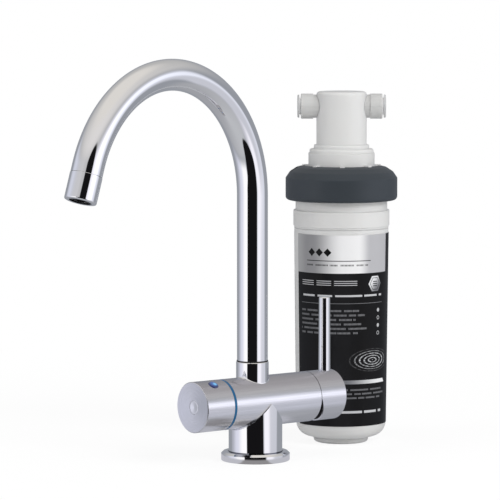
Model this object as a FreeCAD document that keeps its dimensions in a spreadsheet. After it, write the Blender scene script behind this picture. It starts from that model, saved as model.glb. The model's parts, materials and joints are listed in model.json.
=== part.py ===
import FreeCAD, Part
import math
import operator
import os
import Sketcher
from types import SimpleNamespace

# A three-way kitchen tap and the quick-twist filter cartridge that feeds its third way.
# Millimetres, +Z up. The origin is the centre of the tap's base, on the worktop.
# The tap's barrel lies along X, its filter knob on the left and its mixer lever on the right.
# The filter stands on its cartridge's foot behind the lever.

# Driving dimensions. Each is a cell of the sheet, and every piece takes its size from them.
DIMENSIONS = {
    # Fits that pieces share
    "moving_gap": 0.3,
    "running_fit": 0.05,
    "thin_joint": 0.15,
    # Tap body: a horizontal barrel on a mitred column, with a short sleeve for the spout
    "axis_height": 45.0,
    "barrel_radius": 19.35,
    "barrel_left": -32.6,
    "barrel_right": 49.7,
    "column_radius": 20.5,
    "sleeve_radius": 12.45,
    "sleeve_top": 76.0,
    "sleeve_fillet": 1.2,
    "sleeve_bevel": 0.5,
    "way_radius": 3.0,
    "small_way": 2.5,
    "mixed_riser": 2.0,
    "side_gallery": 1.8,
    # Base ring, its seal and the block that takes the hoses and the fixing stud
    "ring_radius": 26.25,
    "ring_height": 7.0,
    "ring_chamfer": 1.6,
    "ring_edge": 0.8,
    "ledge_height": 3.0,
    "ledge_radius": 17.9,
    "seal_inner": 21.8,
    "seal_width": 2.4,
    "seal_height": 2.0,
    "block_radius": 16.95,
    "block_top": 17.0,
    "stud_hole": 3.4,
    "stud_depth": 14.0,
    "hose_hole": 4.45,
    "hose_depth": 12.0,
    "hose_circle": 11.0,
    # Spout: a swan neck with a second, filtered way inside it
    "spout_x": -3.0,
    "spout_turn": 11.45,
    "tube_radius": 11.75,
    "tube_wall": 1.5,
    "neck_height": 202.8,
    "neck_radius": 94.0,
    "neck_lean": 19.3,
    "tip_length": 27.0,
    "bearing_thickness": 0.8,
    "bearing_lip": 0.3,
    "spigot_radius": 9.0,
    "spigot_length": 16.0,
    "chamber_height": 3.0,
    "plug_length": 13.0,
    "plug_web": 0.45,
    "seal_depth": 1.2,
    "seal_groove": 1.8,
    "lower_seal": 2.3,
    "upper_seal": 5.9,
    "lock_height": 10.2,
    "lock_width": 2.8,
    "lock_depth": 1.4,
    "lock_screw_radius": 2.5,
    "inner_radius": 3.6,
    "inner_wall": 1.1,
    "inner_sink": 7.0,
    "inner_seal_height": 1.8,
    "inner_seal_depth": 0.9,
    # Aerator
    "housing_radius": 11.95,
    "housing_length": 20.0,
    "housing_edge": 1.0,
    "housing_thread": 4.5,
    "joint_edge": 0.3,
    "insert_radius": 9.1,
    "insert_length": 12.4,
    "insert_rim": 0.9,
    "insert_recess": 2.6,
    "core_shelf": 2.0,
    "core_flare": 1.4,
    "lip_radius": 8.4,
    "lip_height": 1.6,
    "washer_height": 1.5,
    "washer_bore": 7.4,
    "washer_lip": 0.6,
    "nozzle_radius": 1.9,
    "nozzle_wall": 0.9,
    "nozzle_inset": 0.6,
    "jet_radius": 0.95,
    "jet_circle": 5.9,
    "jet_angle": 24.0,
    "jet_count": 8,
    # Filter knob and the quarter-turn valve behind it
    "blue_width": 2.0,
    "blue_recess": 0.15,
    "blue_depth": 5.0,
    "knob_length": 25.6,
    "knob_wall": 2.6,
    "knob_end": 7.5,
    "knob_dish": 1.1,
    "knob_edge": 0.5,
    "knob_fillet": 2.0,
    "boss_radius": 8.0,
    "boss_length": 7.7,
    "cap_radius": 5.25,
    "cap_height": 2.2,
    "cap_rim": 1.05,
    "cap_dish": 0.5,
    "cap_edge": 0.3,
    "screw_head_radius": 4.3,
    "screw_head_height": 2.4,
    "screw_radius": 2.5,
    "screw_reach": 8.0,
    "screw_room": 1.5,
    "marker_turn": 27.0,
    "marker_x": -47.5,
    "marker_radius": 3.3,
    "marker_depth": 1.2,
    "marker_sink": 0.3,
    "marker_edge": 0.25,
    "marker_dome": 0.4,
    "valve_thread": 10.3,
    "valve_hex": 23.0,
    "valve_hex_length": 6.0,
    "valve_nose_radius": 6.6,
    "valve_nose_length": 6.2,
    "valve_length": 18.4,
    "valve_thread_length": 6.4,
    "gallery_depth": 1.1,
    "seat_depth": 6.4,
    "spindle_radius": 4.0,
    "disc_radius": 7.9,
    "disc_height": 3.0,
    "disc_seal_height": 2.1,
    "disc_seal_width": 2.2,
    "disc_port": 2.0,
    # Mixer cartridge, its lever stem and the handle
    "mixer_radius": 14.0,
    "mixer_floor": 14.0,
    "mixer_length": 29.7,
    "nut_radius": 15.95,
    "nut_length": 5.7,
    "nut_bore": 10.5,
    "spanner_slot": 3.0,
    "spanner_depth": 2.0,
    "carrier_radius": 9.8,
    "carrier_depth": 6.5,
    "pivot_inset": 0.8,
    "dome_radius": 15.4,
    "dome_length": 4.8,
    "dome_edge": 3.2,
    "stem_width": 8.0,
    "stem_back": 5.5,
    "stem_reach": 19.5,
    "stem_room": 2.0,
    "slot_height": 15.0,
    "pin_radius": 1.5,
    "pin_length": 17.0,
    "handle_gap": 0.5,
    "handle_length": 24.7,
    "handle_wall": 2.45,
    "handle_cup": 9.8,
    "handle_relief": 6.5,
    "handle_edge": 0.6,
    "handle_fillet": 1.5,
    "lever_x": 68.2,
    "lever_radius": 4.55,
    "lever_taper": 0.25,
    "lever_top": 121.0,
    "lever_seat": 17.5,
    "lever_thread": 3.0,
    "lever_thread_length": 7.5,
    "lever_bevel": 0.7,
    "grub_radius": 2.0,
    "grub_key": 2.0,
    "grub_gap": 0.6,
    # Filter: where it stands and how its ports point
    "filter_x": 117.7,
    "filter_y": 39.2,
    "filter_turn": -38.35,
    # Cartridge shell and cap
    "foot_inset": 13.8,
    "foot_height": 5.0,
    "foot_edge": 2.6,
    "foot_fillet": 1.2,
    "shell_draft": 1.8,
    "shell_corner": 11.0,
    "shell_top_radius": 37.2,
    "seam_height": 170.0,
    "seam_width": 2.0,
    "seam_groove": 0.5,
    "shell_wall": 2.6,
    "shell_floor": 3.2,
    "pedestal_radius": 11.0,
    "band_step": 0.7,
    "band_height": 12.3,
    "band_low_edge": 0.25,
    "band_top_edge": 0.8,
    "neck_step": 1.0,
    "neck_length": 19.7,
    "neck_edge": 3.0,
    "cap_wall": 3.0,
    "lug_drop": 7.0,
    "lug_height": 4.6,
    "lug_reach": 3.0,
    "lug_angle": 80.0,
    "lug_count": 2,
    "cap_lap": 9.0,
    "lower_spigot_radius": 20.0,
    "lower_spigot_height": 10.0,
    "lower_spigot_edge": 0.5,
    "upper_spigot_radius": 10.0,
    "upper_spigot_height": 26.0,
    "upper_spigot_edge": 0.8,
    "spigot_way": 4.0,
    "feed_hole": 2.5,
    "ring_section": 0.9,
    # Filter block inside the cartridge
    "block_room": 1.8,
    "block_bore": 8.0,
    "pedestal_height": 12.0,
    "block_length": 132.0,
    "block_cap_height": 6.0,
    "block_cap_lip": 1.0,
    "block_cap_skirt": 2.0,
    "block_ring_drop": 6.0,
    "core_wall": 1.8,
    "core_slot_width": 4.0,
    "core_slot_height": 8.0,
    "outlet_length": 40.0,
    "outlet_radius": 9.8,
    # Label wrapped round the shell
    "label_foot": 16.0,
    "label_drop": 3.5,
    "label_thickness": 0.25,
    "label_angle": 330.0,
    "label_start": 203.4,
    # Filter head
    "head_radius": 19.8,
    "head_length": 42.5,
    "head_edge": 2.6,
    "head_crown": 0.6,
    "root_round": 0.6,
    "step_round": 0.8,
    "flare_round": 1.2,
    "step_radius": 21.8,
    "step_length": 3.2,
    "flare_radius": 25.2,
    "flare_length": 3.0,
    "skirt_radius": 26.1,
    "skirt_length": 17.7,
    "head_gap": 3.6,
    "flange_step": 2.4,
    "flange_height": 4.0,
    "key_reach": 4.8,
    "key_width": 3.8,
    "key_rise": 0.7,
    "key_count": 8,
    "port_drop": 12.2,
    "port_sink": 3.3,
    "port_neck_radius": 9.2,
    "port_neck_length": 2.7,
    "port_draft": 0.15,
    "port_ring_radius": 9.9,
    "port_ring_length": 9.6,
    "port_edge": 0.7,
    "tube_hole": 4.85,
    "stop_wall": 2.5,
    "tube_pilot": 2.5,
    "seal_pocket": 6.7,
    "port_seal_length": 2.4,
    "collet_flange": 1.5,
    "collet_flange_radius": 9.1,
    "collet_gap": 1.2,
    "collet_travel": 1.0,
    "collet_mouth": 0.4,
    "collet_round": 0.8,
    "side_way": 3.0,
    "drop_way": 2.5,
    "way_wall": 0.95,
    "chamber_radius": 5.0,
    "socket_room": 8.0,
    "spigot_room": 4.0,
    # Locking collar
    "collar_reach": 7.9,
    "collar_wall": 3.6,
    "collar_lip": 0.5,
    "shoulder_step": 1.9,
    "shoulder_rise": 9.8,
    "shoulder_round": 1.6,
    "haunch_inset": 3.4,
    "haunch_rise": 5.0,
    "haunch_round": 4.0,
    "crown_inset": 8.6,
    "crown_rise": 8.4,
    "crown_round": 6.0,
    "rim_gap": 3.3,
    "rim_thickness": 3.2,
    "vault_width": 4.0,
    "ledge_gap": 0.5,
    "ledge_thickness": 4.7,
    "ledge_angle": 84.0,
    "window_width": 11.0,
    "window_length": 6.0,
    "window_inset": 3.6,
    "window_rise": 1.5,
}

# How many of the holes that are drawn one by one
MIXED_WAYS = 4
FEED_HOLES = 6
CORE_SLOTS = 6
# A key socket has six sides, and its first corner stands this many degrees from X
HEXAGON_SIDES = 6
HEXAGON_TURN = 30.0
# How far a cut starts outside what it opens, and how near two measured places count as the same
OVERCUT = 1.0
NEAR = 0.01

document = FreeCAD.newDocument("water_filter")
sheet = document.addObject("Spreadsheet::Sheet", "Sizes")
OPERATIONS = {"+": operator.add, "-": operator.sub, "*": operator.mul, "/": operator.truediv}
NODES = []


class Size:
    """A size that knows both its number and the sheet expression that gives it."""

    def __init__(self, value, text):
        self.value = float(value)
        self.text = text

    def __add__(self, other):
        return combine(self, "+", other)

    def __radd__(self, other):
        return combine(other, "+", self)

    def __sub__(self, other):
        return combine(self, "-", other)

    def __rsub__(self, other):
        return combine(other, "-", self)

    def __mul__(self, other):
        return combine(self, "*", other)

    def __rmul__(self, other):
        return combine(other, "*", self)

    def __truediv__(self, other):
        return combine(self, "/", other)

    def __neg__(self):
        return combine(0.0, "-", self)


def as_size(item):
    """A plain number becomes a Size, so that both can be mixed."""
    if isinstance(item, Size):
        return item
    return Size(item, "%.9g" % item if item >= 0 else "(%.9g)" % item)


def combine(left, sign, right):
    left, right = as_size(left), as_size(right)
    value = OPERATIONS[sign](left.value, right.value)
    return Size(value, "(%s %s %s)" % (left.text, sign, right.text))


def sine(angle):
    return Size(math.sin(math.radians(angle.value)), "sin(%s)" % angle.text)


def cosine(angle):
    return Size(math.cos(math.radians(angle.value)), "cos(%s)" % angle.text)


def fill_sheet():
    """Write the driving dimensions into the sheet and give each its alias."""
    sizes = {}
    for row, (name, number) in enumerate(DIMENSIONS.items(), start=1):
        sheet.set("A%d" % row, name)
        sheet.set("B%d" % row, str(number))
        sheet.setAlias("B%d" % row, name)
        sizes[name] = Size(number, "Sizes." + name)
    document.recompute()
    return SimpleNamespace(**sizes)


s = fill_sheet()

# Sizes worked out from the driving ones
TUBE_BORE = s.tube_radius - s.tube_wall
TUBE_FOOT = s.sleeve_top + s.thin_joint + s.bearing_thickness
SPIGOT_BORE = s.spigot_radius + s.running_fit
SPIGOT_FOOT = s.sleeve_top - s.spigot_length
SOCKET_END = SPIGOT_FOOT - s.chamber_height
LOCK_Z = SPIGOT_FOOT + s.lock_height
INNER_BORE = s.inner_radius - s.inner_wall
INNER_FOOT = SOCKET_END - s.inner_sink
INNER_SEAL_Z = INNER_FOOT + s.inner_seal_height
MIXED_Z = SOCKET_END - s.small_way
VALVE_END = s.barrel_left + s.valve_length
TIP_STRAIGHT = s.tip_length - s.housing_length
INSERT_FOOT = -s.tip_length + s.lip_height
INSERT_TOP = INSERT_FOOT + s.insert_length
INSERT_SHELF = INSERT_TOP - s.core_shelf
TIP_X = -s.neck_radius * (1.0 + cosine(s.neck_lean))
TIP_Z = s.neck_height + s.neck_radius * sine(s.neck_lean)
BLUE_LEFT = s.barrel_left - s.blue_width
KNOB_RIGHT = BLUE_LEFT - s.moving_gap
KNOB_LEFT = KNOB_RIGHT - s.knob_length
KNOB_FLOOR = KNOB_LEFT + s.knob_end
MIXER_END = s.mixer_floor + s.mixer_length
NUT_END = MIXER_END + s.nut_length
PIVOT_X = s.barrel_right + s.pivot_inset
HANDLE_LEFT = s.barrel_right + s.handle_gap
HANDLE_RIGHT = HANDLE_LEFT + s.handle_length
SOCKET_FLOOR = HANDLE_LEFT + s.handle_cup
STEM_END = PIVOT_X + s.stem_reach
SHELL_BOTTOM = s.shell_top_radius - s.shell_draft
FOOT_RADIUS = SHELL_BOTTOM - s.foot_inset
BAND_RADIUS = s.shell_top_radius + s.band_step
NECK_OUTER = s.shell_top_radius - s.neck_step
BLOCK_LIP = SHELL_BOTTOM - s.shell_wall - s.block_room
BLOCK_OUTER = BLOCK_LIP - s.block_cap_lip
BLOCK_FOOT = s.pedestal_height + s.block_cap_height
BLOCK_TOP = BLOCK_FOOT + s.block_length
OUTLET_TOP = BLOCK_TOP + s.outlet_length
LABEL_TOP = s.seam_height - s.label_drop
BAND_FOOT = s.seam_height + s.seam_width
BAND_TOP = BAND_FOOT + s.band_height
NECK_TOP = BAND_TOP + s.neck_length
LUG_FOOT = NECK_TOP - s.lug_drop
LOWER_TOP = NECK_TOP + s.lower_spigot_height
UPPER_TOP = LOWER_TOP + s.upper_spigot_height
FEED_CIRCLE = (s.lower_spigot_radius + s.upper_spigot_radius) / 2.0
LOWER_SOCKET = s.lower_spigot_radius + s.running_fit
UPPER_SOCKET = s.upper_spigot_radius + s.running_fit
FLANGE_FOOT = NECK_TOP + s.head_gap
FLANGE_TOP = FLANGE_FOOT + s.flange_height
FLANGE_RADIUS = NECK_OUTER + s.flange_step
SKIRT_TOP = FLANGE_TOP + s.skirt_length
FLARE_TOP = SKIRT_TOP + s.flare_length
STEP_TOP = FLARE_TOP + s.step_length
HEAD_TOP = STEP_TOP + s.head_length
PORT_Z = HEAD_TOP - s.port_drop
PORT_SEAT = s.head_radius - s.port_sink
PORT_NECK_END = s.head_radius + s.port_neck_length
PORT_END = PORT_NECK_END + s.port_ring_length
TUBE_STOP = PORT_SEAT + s.stop_wall
POCKET_START = TUBE_STOP + s.tube_pilot
DROP_X = UPPER_SOCKET + s.way_wall + s.drop_way
COLLAR_FOOT = LUG_FOOT - s.moving_gap - s.ledge_thickness
COLLAR_RADIUS = NECK_OUTER + s.collar_reach
COLLAR_INSIDE = COLLAR_RADIUS - s.collar_wall
SHOULDER = FLANGE_FOOT + s.shoulder_step
RIM_TOP = SHOULDER + s.shoulder_rise
RIM_RADIUS = s.skirt_radius + s.rim_gap
KEY_RADIUS = s.skirt_radius + s.key_reach


def new_body(name):
    """A sub-part: its label names its file."""
    body = document.addObject("PartDesign::Body", name)
    body.Label = name
    NODES.append(body)
    return body


def place(body, x=None, y=None, z=None, turn=None, axis=(0, 0, 1)):
    """Bind a sub-part's placement to the sheet."""
    body.Placement = FreeCAD.Placement(FreeCAD.Vector(0, 0, 0), FreeCAD.Rotation(FreeCAD.Vector(*axis), 0))
    if turn is not None:
        angle = as_size(turn)
        body.Placement = FreeCAD.Placement(FreeCAD.Vector(0, 0, 0),
                                           FreeCAD.Rotation(FreeCAD.Vector(*axis), angle.value))
        body.setExpression("Placement.Rotation.Angle", angle.text)
    for letter, shift in (("x", x), ("y", y), ("z", z)):
        if shift is not None:
            body.setExpression("Placement.Base." + letter, as_size(shift).text)
    return body


def barrel_body(name, turn=None):
    """A sub-part whose own X axis is the barrel's axis."""
    return place(new_body(name), z=s.axis_height, turn=turn, axis=(1, 0, 0))


def spout_body(name):
    """A sub-part whose own Z axis is the spout's swivel axis, the neck reaching towards its -X."""
    return place(new_body(name), x=s.spout_x, turn=s.spout_turn)


def filter_body(name):
    """A sub-part whose own Z axis is the filter's axis, the ports lying along its X."""
    return place(new_body(name), x=s.filter_x, y=s.filter_y, turn=s.filter_turn)


def new_sketch(body, plane, name, across=None, up=None, off=None, lean=None):
    """A sketch on one of the body's own planes, shifted in the plane and off it."""
    sketch = body.newObject("Sketcher::SketchObject", name)
    support = [item for item in body.Origin.OriginFeatures if item.Role == plane][0]
    sketch.AttachmentSupport = [(support, "")]
    sketch.MapMode = "FlatFace"
    for letter, shift in (("x", across), ("y", up), ("z", off)):
        if shift is not None:
            sketch.setExpression("AttachmentOffset.Base." + letter, as_size(shift).text)
    if lean is not None:
        sketch.setExpression("AttachmentOffset.Rotation.Angle", as_size(lean).text)
    return sketch


def bind(sketch, kind, places, size, label):
    """A dimension in the sketch that follows the sheet."""
    size = as_size(size)
    index = sketch.addConstraint(Sketcher.Constraint(kind, *places, size.value))
    sketch.renameConstraint(index, label)
    sketch.setExpression("Constraints." + label, size.text)


def pin_point(sketch, geometry, end, across, up, label):
    bind(sketch, "DistanceX", (-1, 1, geometry, end), across, label + "_across")
    bind(sketch, "DistanceY", (-1, 1, geometry, end), up, label + "_up")


def draw_circle(sketch, radius, across=0.0, up=0.0):
    across, up, radius = as_size(across), as_size(up), as_size(radius)
    centre = FreeCAD.Vector(across.value, up.value, 0)
    index = sketch.addGeometry(Part.Circle(centre, FreeCAD.Vector(0, 0, 1), radius.value), False)
    pin_point(sketch, index, 3, across, up, "centre%d" % index)
    bind(sketch, "Radius", (index,), radius, "radius%d" % index)


def corner_arc(before, corner, after, radius):
    """A rounded corner: its tangent points, its arc, anticlockwise, and the end that it starts from."""
    inward = (before - corner).normalize()
    outward = (after - corner).normalize()
    half = inward.getAngle(outward) / 2.0
    start = corner + inward * (radius / math.tan(half))
    end = corner + outward * (radius / math.tan(half))
    centre = corner + (inward + outward).normalize() * (radius / math.sin(half))
    middle = centre + (corner - centre).normalize() * radius
    if (start - centre).cross(end - centre).z > 0:
        return start, end, Part.Arc(start, middle, end), 1
    return start, end, Part.Arc(end, middle, start), 2


def draw_outline(sketch, corners):
    """A closed outline through corners (across, up) or (across, up, rounding)."""
    count = len(corners)
    sizes = [[as_size(item) for item in corner] for corner in corners]
    points = [FreeCAD.Vector(corner[0].value, corner[1].value, 0) for corner in sizes]
    starts, ends, arcs = [], [], []
    for index, corner in enumerate(sizes):
        if len(corner) == 3:
            start, end, arc, first = corner_arc(points[index - 1], points[index],
                                                points[(index + 1) % count], corner[2].value)
        else:
            start, end, arc, first = points[index], points[index], None, 1
        starts.append(start)
        ends.append(end)
        arcs.append((arc, first))
    lines = [sketch.addGeometry(Part.LineSegment(ends[index - 1], starts[index]), False)
             for index in range(count)]
    for index, corner in enumerate(sizes):
        arriving = lines[index]
        leaving = lines[(index + 1) % count]
        label = "corner%d_%d" % (lines[0], index)
        curve, first = arcs[index]
        if curve is None:
            sketch.addConstraint(Sketcher.Constraint("Coincident", arriving, 2, leaving, 1))
            pin_point(sketch, leaving, 1, corner[0], corner[1], label)
            continue
        arc = sketch.addGeometry(curve, False)
        sketch.addConstraint([
            Sketcher.Constraint("Tangent", arriving, 2, arc, first),
            Sketcher.Constraint("Tangent", arc, 3 - first, leaving, 1),
        ])
        point = sketch.addGeometry(Part.Point(points[index]), True)
        sketch.addConstraint([
            Sketcher.Constraint("PointOnObject", point, 1, arriving),
            Sketcher.Constraint("PointOnObject", point, 1, leaving),
        ])
        pin_point(sketch, point, 1, corner[0], corner[1], label)
        bind(sketch, "Radius", (arc,), corner[2], label + "_round")


def box_corners(left, right, low, high):
    return [(left, low), (right, low), (right, high), (left, high)]


def revolve(body, name, outlines, axis="V_Axis", angle=None, cut=False, **where):
    """Turn outlines drawn on the XZ plane about a sketch axis, or cut them out."""
    sketch = new_sketch(body, "XZ_Plane", name + "_outline", **where)
    for outline in outlines:
        draw_outline(sketch, outline)
    kind = "PartDesign::Groove" if cut else "PartDesign::Revolution"
    feature = body.newObject(kind, name)
    feature.Profile = sketch
    feature.ReferenceAxis = (sketch, [axis])
    feature.Angle = 360
    if angle is not None:
        feature.setExpression("Angle", as_size(angle).text)
        feature.Midplane = True
    return feature


def turned(body, name, outlines, cut=False, **where):
    """A piece turned about the barrel's axis: outlines give (along, radius)."""
    return revolve(body, name, outlines, axis="H_Axis", cut=cut, **where)


def extrude(body, name, sketch, length, cut=False, both_ways=False, turned_round=False):
    """Pad or pocket a sketch by a length bound to the sheet."""
    feature = body.newObject("PartDesign::Pocket" if cut else "PartDesign::Pad", name)
    feature.Profile = sketch
    feature.setExpression("Length", as_size(length).text)
    if both_ways:
        feature.SideType = "Symmetric"
    feature.Reversed = turned_round
    return feature


def drill(body, name, plane, radius, length, holes, off=None, turned_round=False):
    """Round holes of one radius, from a plane of the body inwards."""
    sketch = new_sketch(body, plane, name + "_circles", off=off)
    for across, up in holes:
        draw_circle(sketch, radius, across, up)
    return extrude(body, name, sketch, length, cut=True, turned_round=turned_round)


def polar_copies(body, feature, count, name):
    """Repeat a feature about the body's own Z axis."""
    pattern = body.newObject("PartDesign::PolarPattern", name)
    pattern.Originals = [feature]
    axis = [item for item in body.Origin.OriginFeatures if item.Role == "Z_Axis"][0]
    pattern.Axis = (axis, [""])
    pattern.Angle = 360
    pattern.setExpression("Occurrences", as_size(count).text)
    body.Tip = pattern
    return pattern


def circle_points(radius, count, first=0.0):
    """Places on a circle, the first at an angle in degrees."""
    places = []
    for index in range(count):
        angle = math.radians(first + 360.0 * index / count)
        places.append((radius * math.cos(angle), radius * math.sin(angle)))
    return places


def hexagon(across_flats):
    return circle_points(across_flats / math.sqrt(3.0), HEXAGON_SIDES, HEXAGON_TURN)


def through(half_width):
    """A cut's length both ways that surely passes a piece of this half width."""
    return 2.0 * (half_width + OVERCUT)


def edges_where(feature, wanted):
    """The names of a feature's edges that pass a test."""
    return ["Edge%d" % (index + 1) for index, edge in enumerate(feature.Shape.Edges) if wanted(edge)]


# Where the hose ways stand in the base: hot and cold feed the mixer, filtered feeds the knob's valve
HOSE_ANGLES = (60.0, 180.0, 300.0)


def hose_places():
    return [(s.hose_circle * math.cos(math.radians(angle)), s.hose_circle * math.sin(math.radians(angle)))
            for angle in HOSE_ANGLES]


def make_tap_body():
    """One casting: the mitred column, the barrel across it and the sleeve on top, all bored."""
    body = new_body("tap_body")
    column = new_sketch(body, "XY_Plane", "column_circle", off=s.ledge_height)
    draw_circle(column, s.column_radius)
    extrude(body, "column", column, s.axis_height - s.ledge_height)

    # The mitre: two planes at 45 degrees that meet level with the barrel's axis
    margin = s.column_radius + OVERCUT
    mitre = new_sketch(body, "XZ_Plane", "mitre_outline")
    draw_outline(mitre, [
        (-margin, s.axis_height - margin),
        (0.0, s.axis_height),
        (margin, s.axis_height - margin),
        (margin, s.axis_height + margin),
        (-margin, s.axis_height + margin),
    ])
    extrude(body, "mitre", mitre, 2.0 * margin, cut=True, both_ways=True)

    barrel = new_sketch(body, "YZ_Plane", "barrel_circle", off=s.barrel_left)
    draw_circle(barrel, s.barrel_radius, 0.0, s.axis_height)
    extrude(body, "barrel", barrel, s.barrel_right - s.barrel_left)

    sleeve = new_sketch(body, "XY_Plane", "sleeve_circle", off=s.axis_height)
    draw_circle(sleeve, s.sleeve_radius, s.spout_x, 0.0)
    solid = extrude(body, "sleeve", sleeve, s.sleeve_top - s.axis_height)
    document.recompute()

    def on_saddle(edge):
        low, high = edge.BoundBox.ZMin, edge.BoundBox.ZMax
        wide = edge.BoundBox.XLength > 2.0 * s.sleeve_radius.value - NEAR
        return wide and low > s.axis_height.value and high < s.sleeve_top.value - NEAR

    root = body.newObject("PartDesign::Fillet", "sleeve_root")
    root.Base = (solid, edges_where(solid, on_saddle))
    root.setExpression("Radius", s.sleeve_fillet.text)
    document.recompute()

    def on_sleeve_top(edge):
        return edge.BoundBox.ZMin > s.sleeve_top.value - NEAR

    bevel = body.newObject("PartDesign::Chamfer", "sleeve_bevel_edge")
    bevel.Base = (root, edges_where(root, on_sleeve_top))
    bevel.setExpression("Size", s.sleeve_bevel.text)

    # Bores along the barrel: the filter valve's on the left, the mixer's on the right
    turned(body, "valve_bore", [[
        (s.barrel_left - OVERCUT, 0.0),
        (VALVE_END + s.seat_depth, 0.0),
        (VALVE_END + s.seat_depth, s.disc_radius),
        (VALVE_END, s.disc_radius),
        (VALVE_END, s.valve_thread + s.running_fit),
        (s.barrel_left - OVERCUT, s.valve_thread + s.running_fit),
    ]], cut=True, up=s.axis_height)
    turned(body, "mixer_bore", [[
        (s.mixer_floor, 0.0),
        (s.barrel_right + OVERCUT, 0.0),
        (s.barrel_right + OVERCUT, s.nut_radius + s.running_fit),
        (MIXER_END, s.nut_radius + s.running_fit),
        (MIXER_END, s.mixer_radius + s.running_fit),
        (s.mixer_floor, s.mixer_radius + s.running_fit),
    ]], cut=True, up=s.axis_height)

    # The base block's seat, and the ways up from it
    block_seat = new_sketch(body, "XY_Plane", "block_seat_circle")
    draw_circle(block_seat, s.block_radius + s.running_fit)
    extrude(body, "block_seat", block_seat, s.block_top, cut=True, turned_round=True)
    hot, filtered, cold = hose_places()
    drill(body, "supply_ways", "XY_Plane", s.way_radius, s.axis_height, [hot, filtered, cold],
          turned_round=True)
    mixer_ways = new_sketch(body, "YZ_Plane", "mixer_ways_circles", off=hot[0])
    draw_circle(mixer_ways, s.way_radius, hot[1], s.axis_height - s.way_radius)
    draw_circle(mixer_ways, s.way_radius, cold[1], s.axis_height - s.way_radius)
    extrude(body, "mixer_ways", mixer_ways, s.mixer_floor, cut=True, turned_round=True)

    # The spout's socket, its lock screw's hole and the mixed water's way into it
    socket = new_sketch(body, "XY_Plane", "socket_circle", off=s.sleeve_top)
    draw_circle(socket, SPIGOT_BORE, s.spout_x, 0.0)
    extrude(body, "socket", socket, s.sleeve_top - SOCKET_END, cut=True)
    drill(body, "lock_hole", "XZ_Plane", s.lock_screw_radius, s.sleeve_radius, [(s.spout_x, LOCK_Z)])
    mixed_x = s.spout_x + s.inner_radius + s.small_way
    drill(body, "mixed_riser_hole", "XY_Plane", s.mixed_riser, SOCKET_END - MIXED_Z, [(mixed_x, 0.0)],
          off=MIXED_Z, turned_round=True)
    drill(body, "mixed_cross", "YZ_Plane", s.small_way, s.mixer_floor - mixed_x + OVERCUT,
          [(0.0, MIXED_Z)], off=mixed_x, turned_round=True)

    # The filtered water leaves the valve's gallery sideways and rises into the spout's inner tube
    side = s.valve_thread
    gallery_length = s.spout_x - VALVE_END + s.side_gallery
    drill(body, "filtered_side", "YZ_Plane", s.side_gallery, gallery_length, [(side, s.axis_height)],
          off=s.spout_x)
    drill(body, "filtered_cross", "XZ_Plane", s.side_gallery, side, [(s.spout_x, s.axis_height)])
    drill(body, "filtered_riser", "XY_Plane", INNER_BORE, SOCKET_END - s.axis_height,
          [(s.spout_x, 0.0)], off=s.axis_height, turned_round=True)
    drill(body, "inner_seat", "XY_Plane", s.inner_radius + s.running_fit, SOCKET_END - INNER_FOOT,
          [(s.spout_x, 0.0)], off=INNER_FOOT, turned_round=True)
    drill(body, "inner_seal_groove", "XY_Plane", s.inner_radius + s.inner_seal_depth,
          s.inner_seal_height, [(s.spout_x, 0.0)], off=INNER_SEAL_Z, turned_round=True)


def make_base():
    """The base ring that the column stands in, its seal and the threaded block."""
    ring = new_body("base_ring")
    seal_outer = s.seal_inner + s.seal_width
    revolve(ring, "ring", [[
        (s.ledge_radius, 0.0),
        (s.seal_inner, 0.0),
        (s.seal_inner, s.seal_height),
        (seal_outer, s.seal_height),
        (seal_outer, 0.0),
        (s.ring_radius, 0.0, s.ring_edge),
        (s.ring_radius, s.ring_height - s.ring_chamfer),
        (s.ring_radius - s.ring_chamfer, s.ring_height),
        (s.column_radius + s.running_fit, s.ring_height),
        (s.column_radius + s.running_fit, s.ledge_height),
        (s.ledge_radius, s.ledge_height),
    ]])
    seal = new_body("base_seal")
    revolve(seal, "seal", [box_corners(s.seal_inner + s.running_fit, seal_outer - s.running_fit,
                                       0.0, s.seal_height)])
    block = new_body("inlet_block")
    circle = new_sketch(block, "XY_Plane", "block_circle")
    draw_circle(circle, s.block_radius)
    extrude(block, "block", circle, s.block_top)
    drill(block, "stud_hole_cut", "XY_Plane", s.stud_hole, s.stud_depth, [(0.0, 0.0)],
          turned_round=True)
    drill(block, "hose_holes", "XY_Plane", s.hose_hole, s.hose_depth, hose_places(),
          turned_round=True)
    drill(block, "hose_ways", "XY_Plane", s.way_radius, s.block_top, hose_places(),
          turned_round=True)


def draw_neck_path(sketch, foot, straight):
    """The swan neck's centre line: up, over and down to a straight tip."""
    lean = s.neck_lean
    foot, straight = as_size(foot), as_size(straight)
    top = FreeCAD.Vector(0, s.neck_height.value, 0)
    bend_end = FreeCAD.Vector(TIP_X.value, TIP_Z.value, 0)
    centre = FreeCAD.Vector(-s.neck_radius.value, s.neck_height.value, 0)
    crown = centre + FreeCAD.Vector(0, s.neck_radius.value, 0)
    end_x = TIP_X - straight * sine(lean)
    end_z = TIP_Z - straight * cosine(lean)
    riser = sketch.addGeometry(Part.LineSegment(FreeCAD.Vector(0, foot.value, 0), top), False)
    bend = sketch.addGeometry(Part.Arc(top, crown, bend_end), False)
    tip_end = FreeCAD.Vector(end_x.value, end_z.value, 0)
    tip = sketch.addGeometry(Part.LineSegment(bend_end, tip_end), False)
    sketch.addConstraint([
        Sketcher.Constraint("Coincident", riser, 2, bend, 1),
        Sketcher.Constraint("Coincident", bend, 2, tip, 1),
    ])
    pin_point(sketch, riser, 1, 0.0, foot, "foot")
    pin_point(sketch, riser, 2, 0.0, s.neck_height, "top")
    pin_point(sketch, bend, 3, -s.neck_radius, s.neck_height, "centre")
    bind(sketch, "DistanceX", (-1, 1, bend, 2), TIP_X, "bend_end")
    pin_point(sketch, tip, 2, end_x, end_z, "tip")


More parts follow.
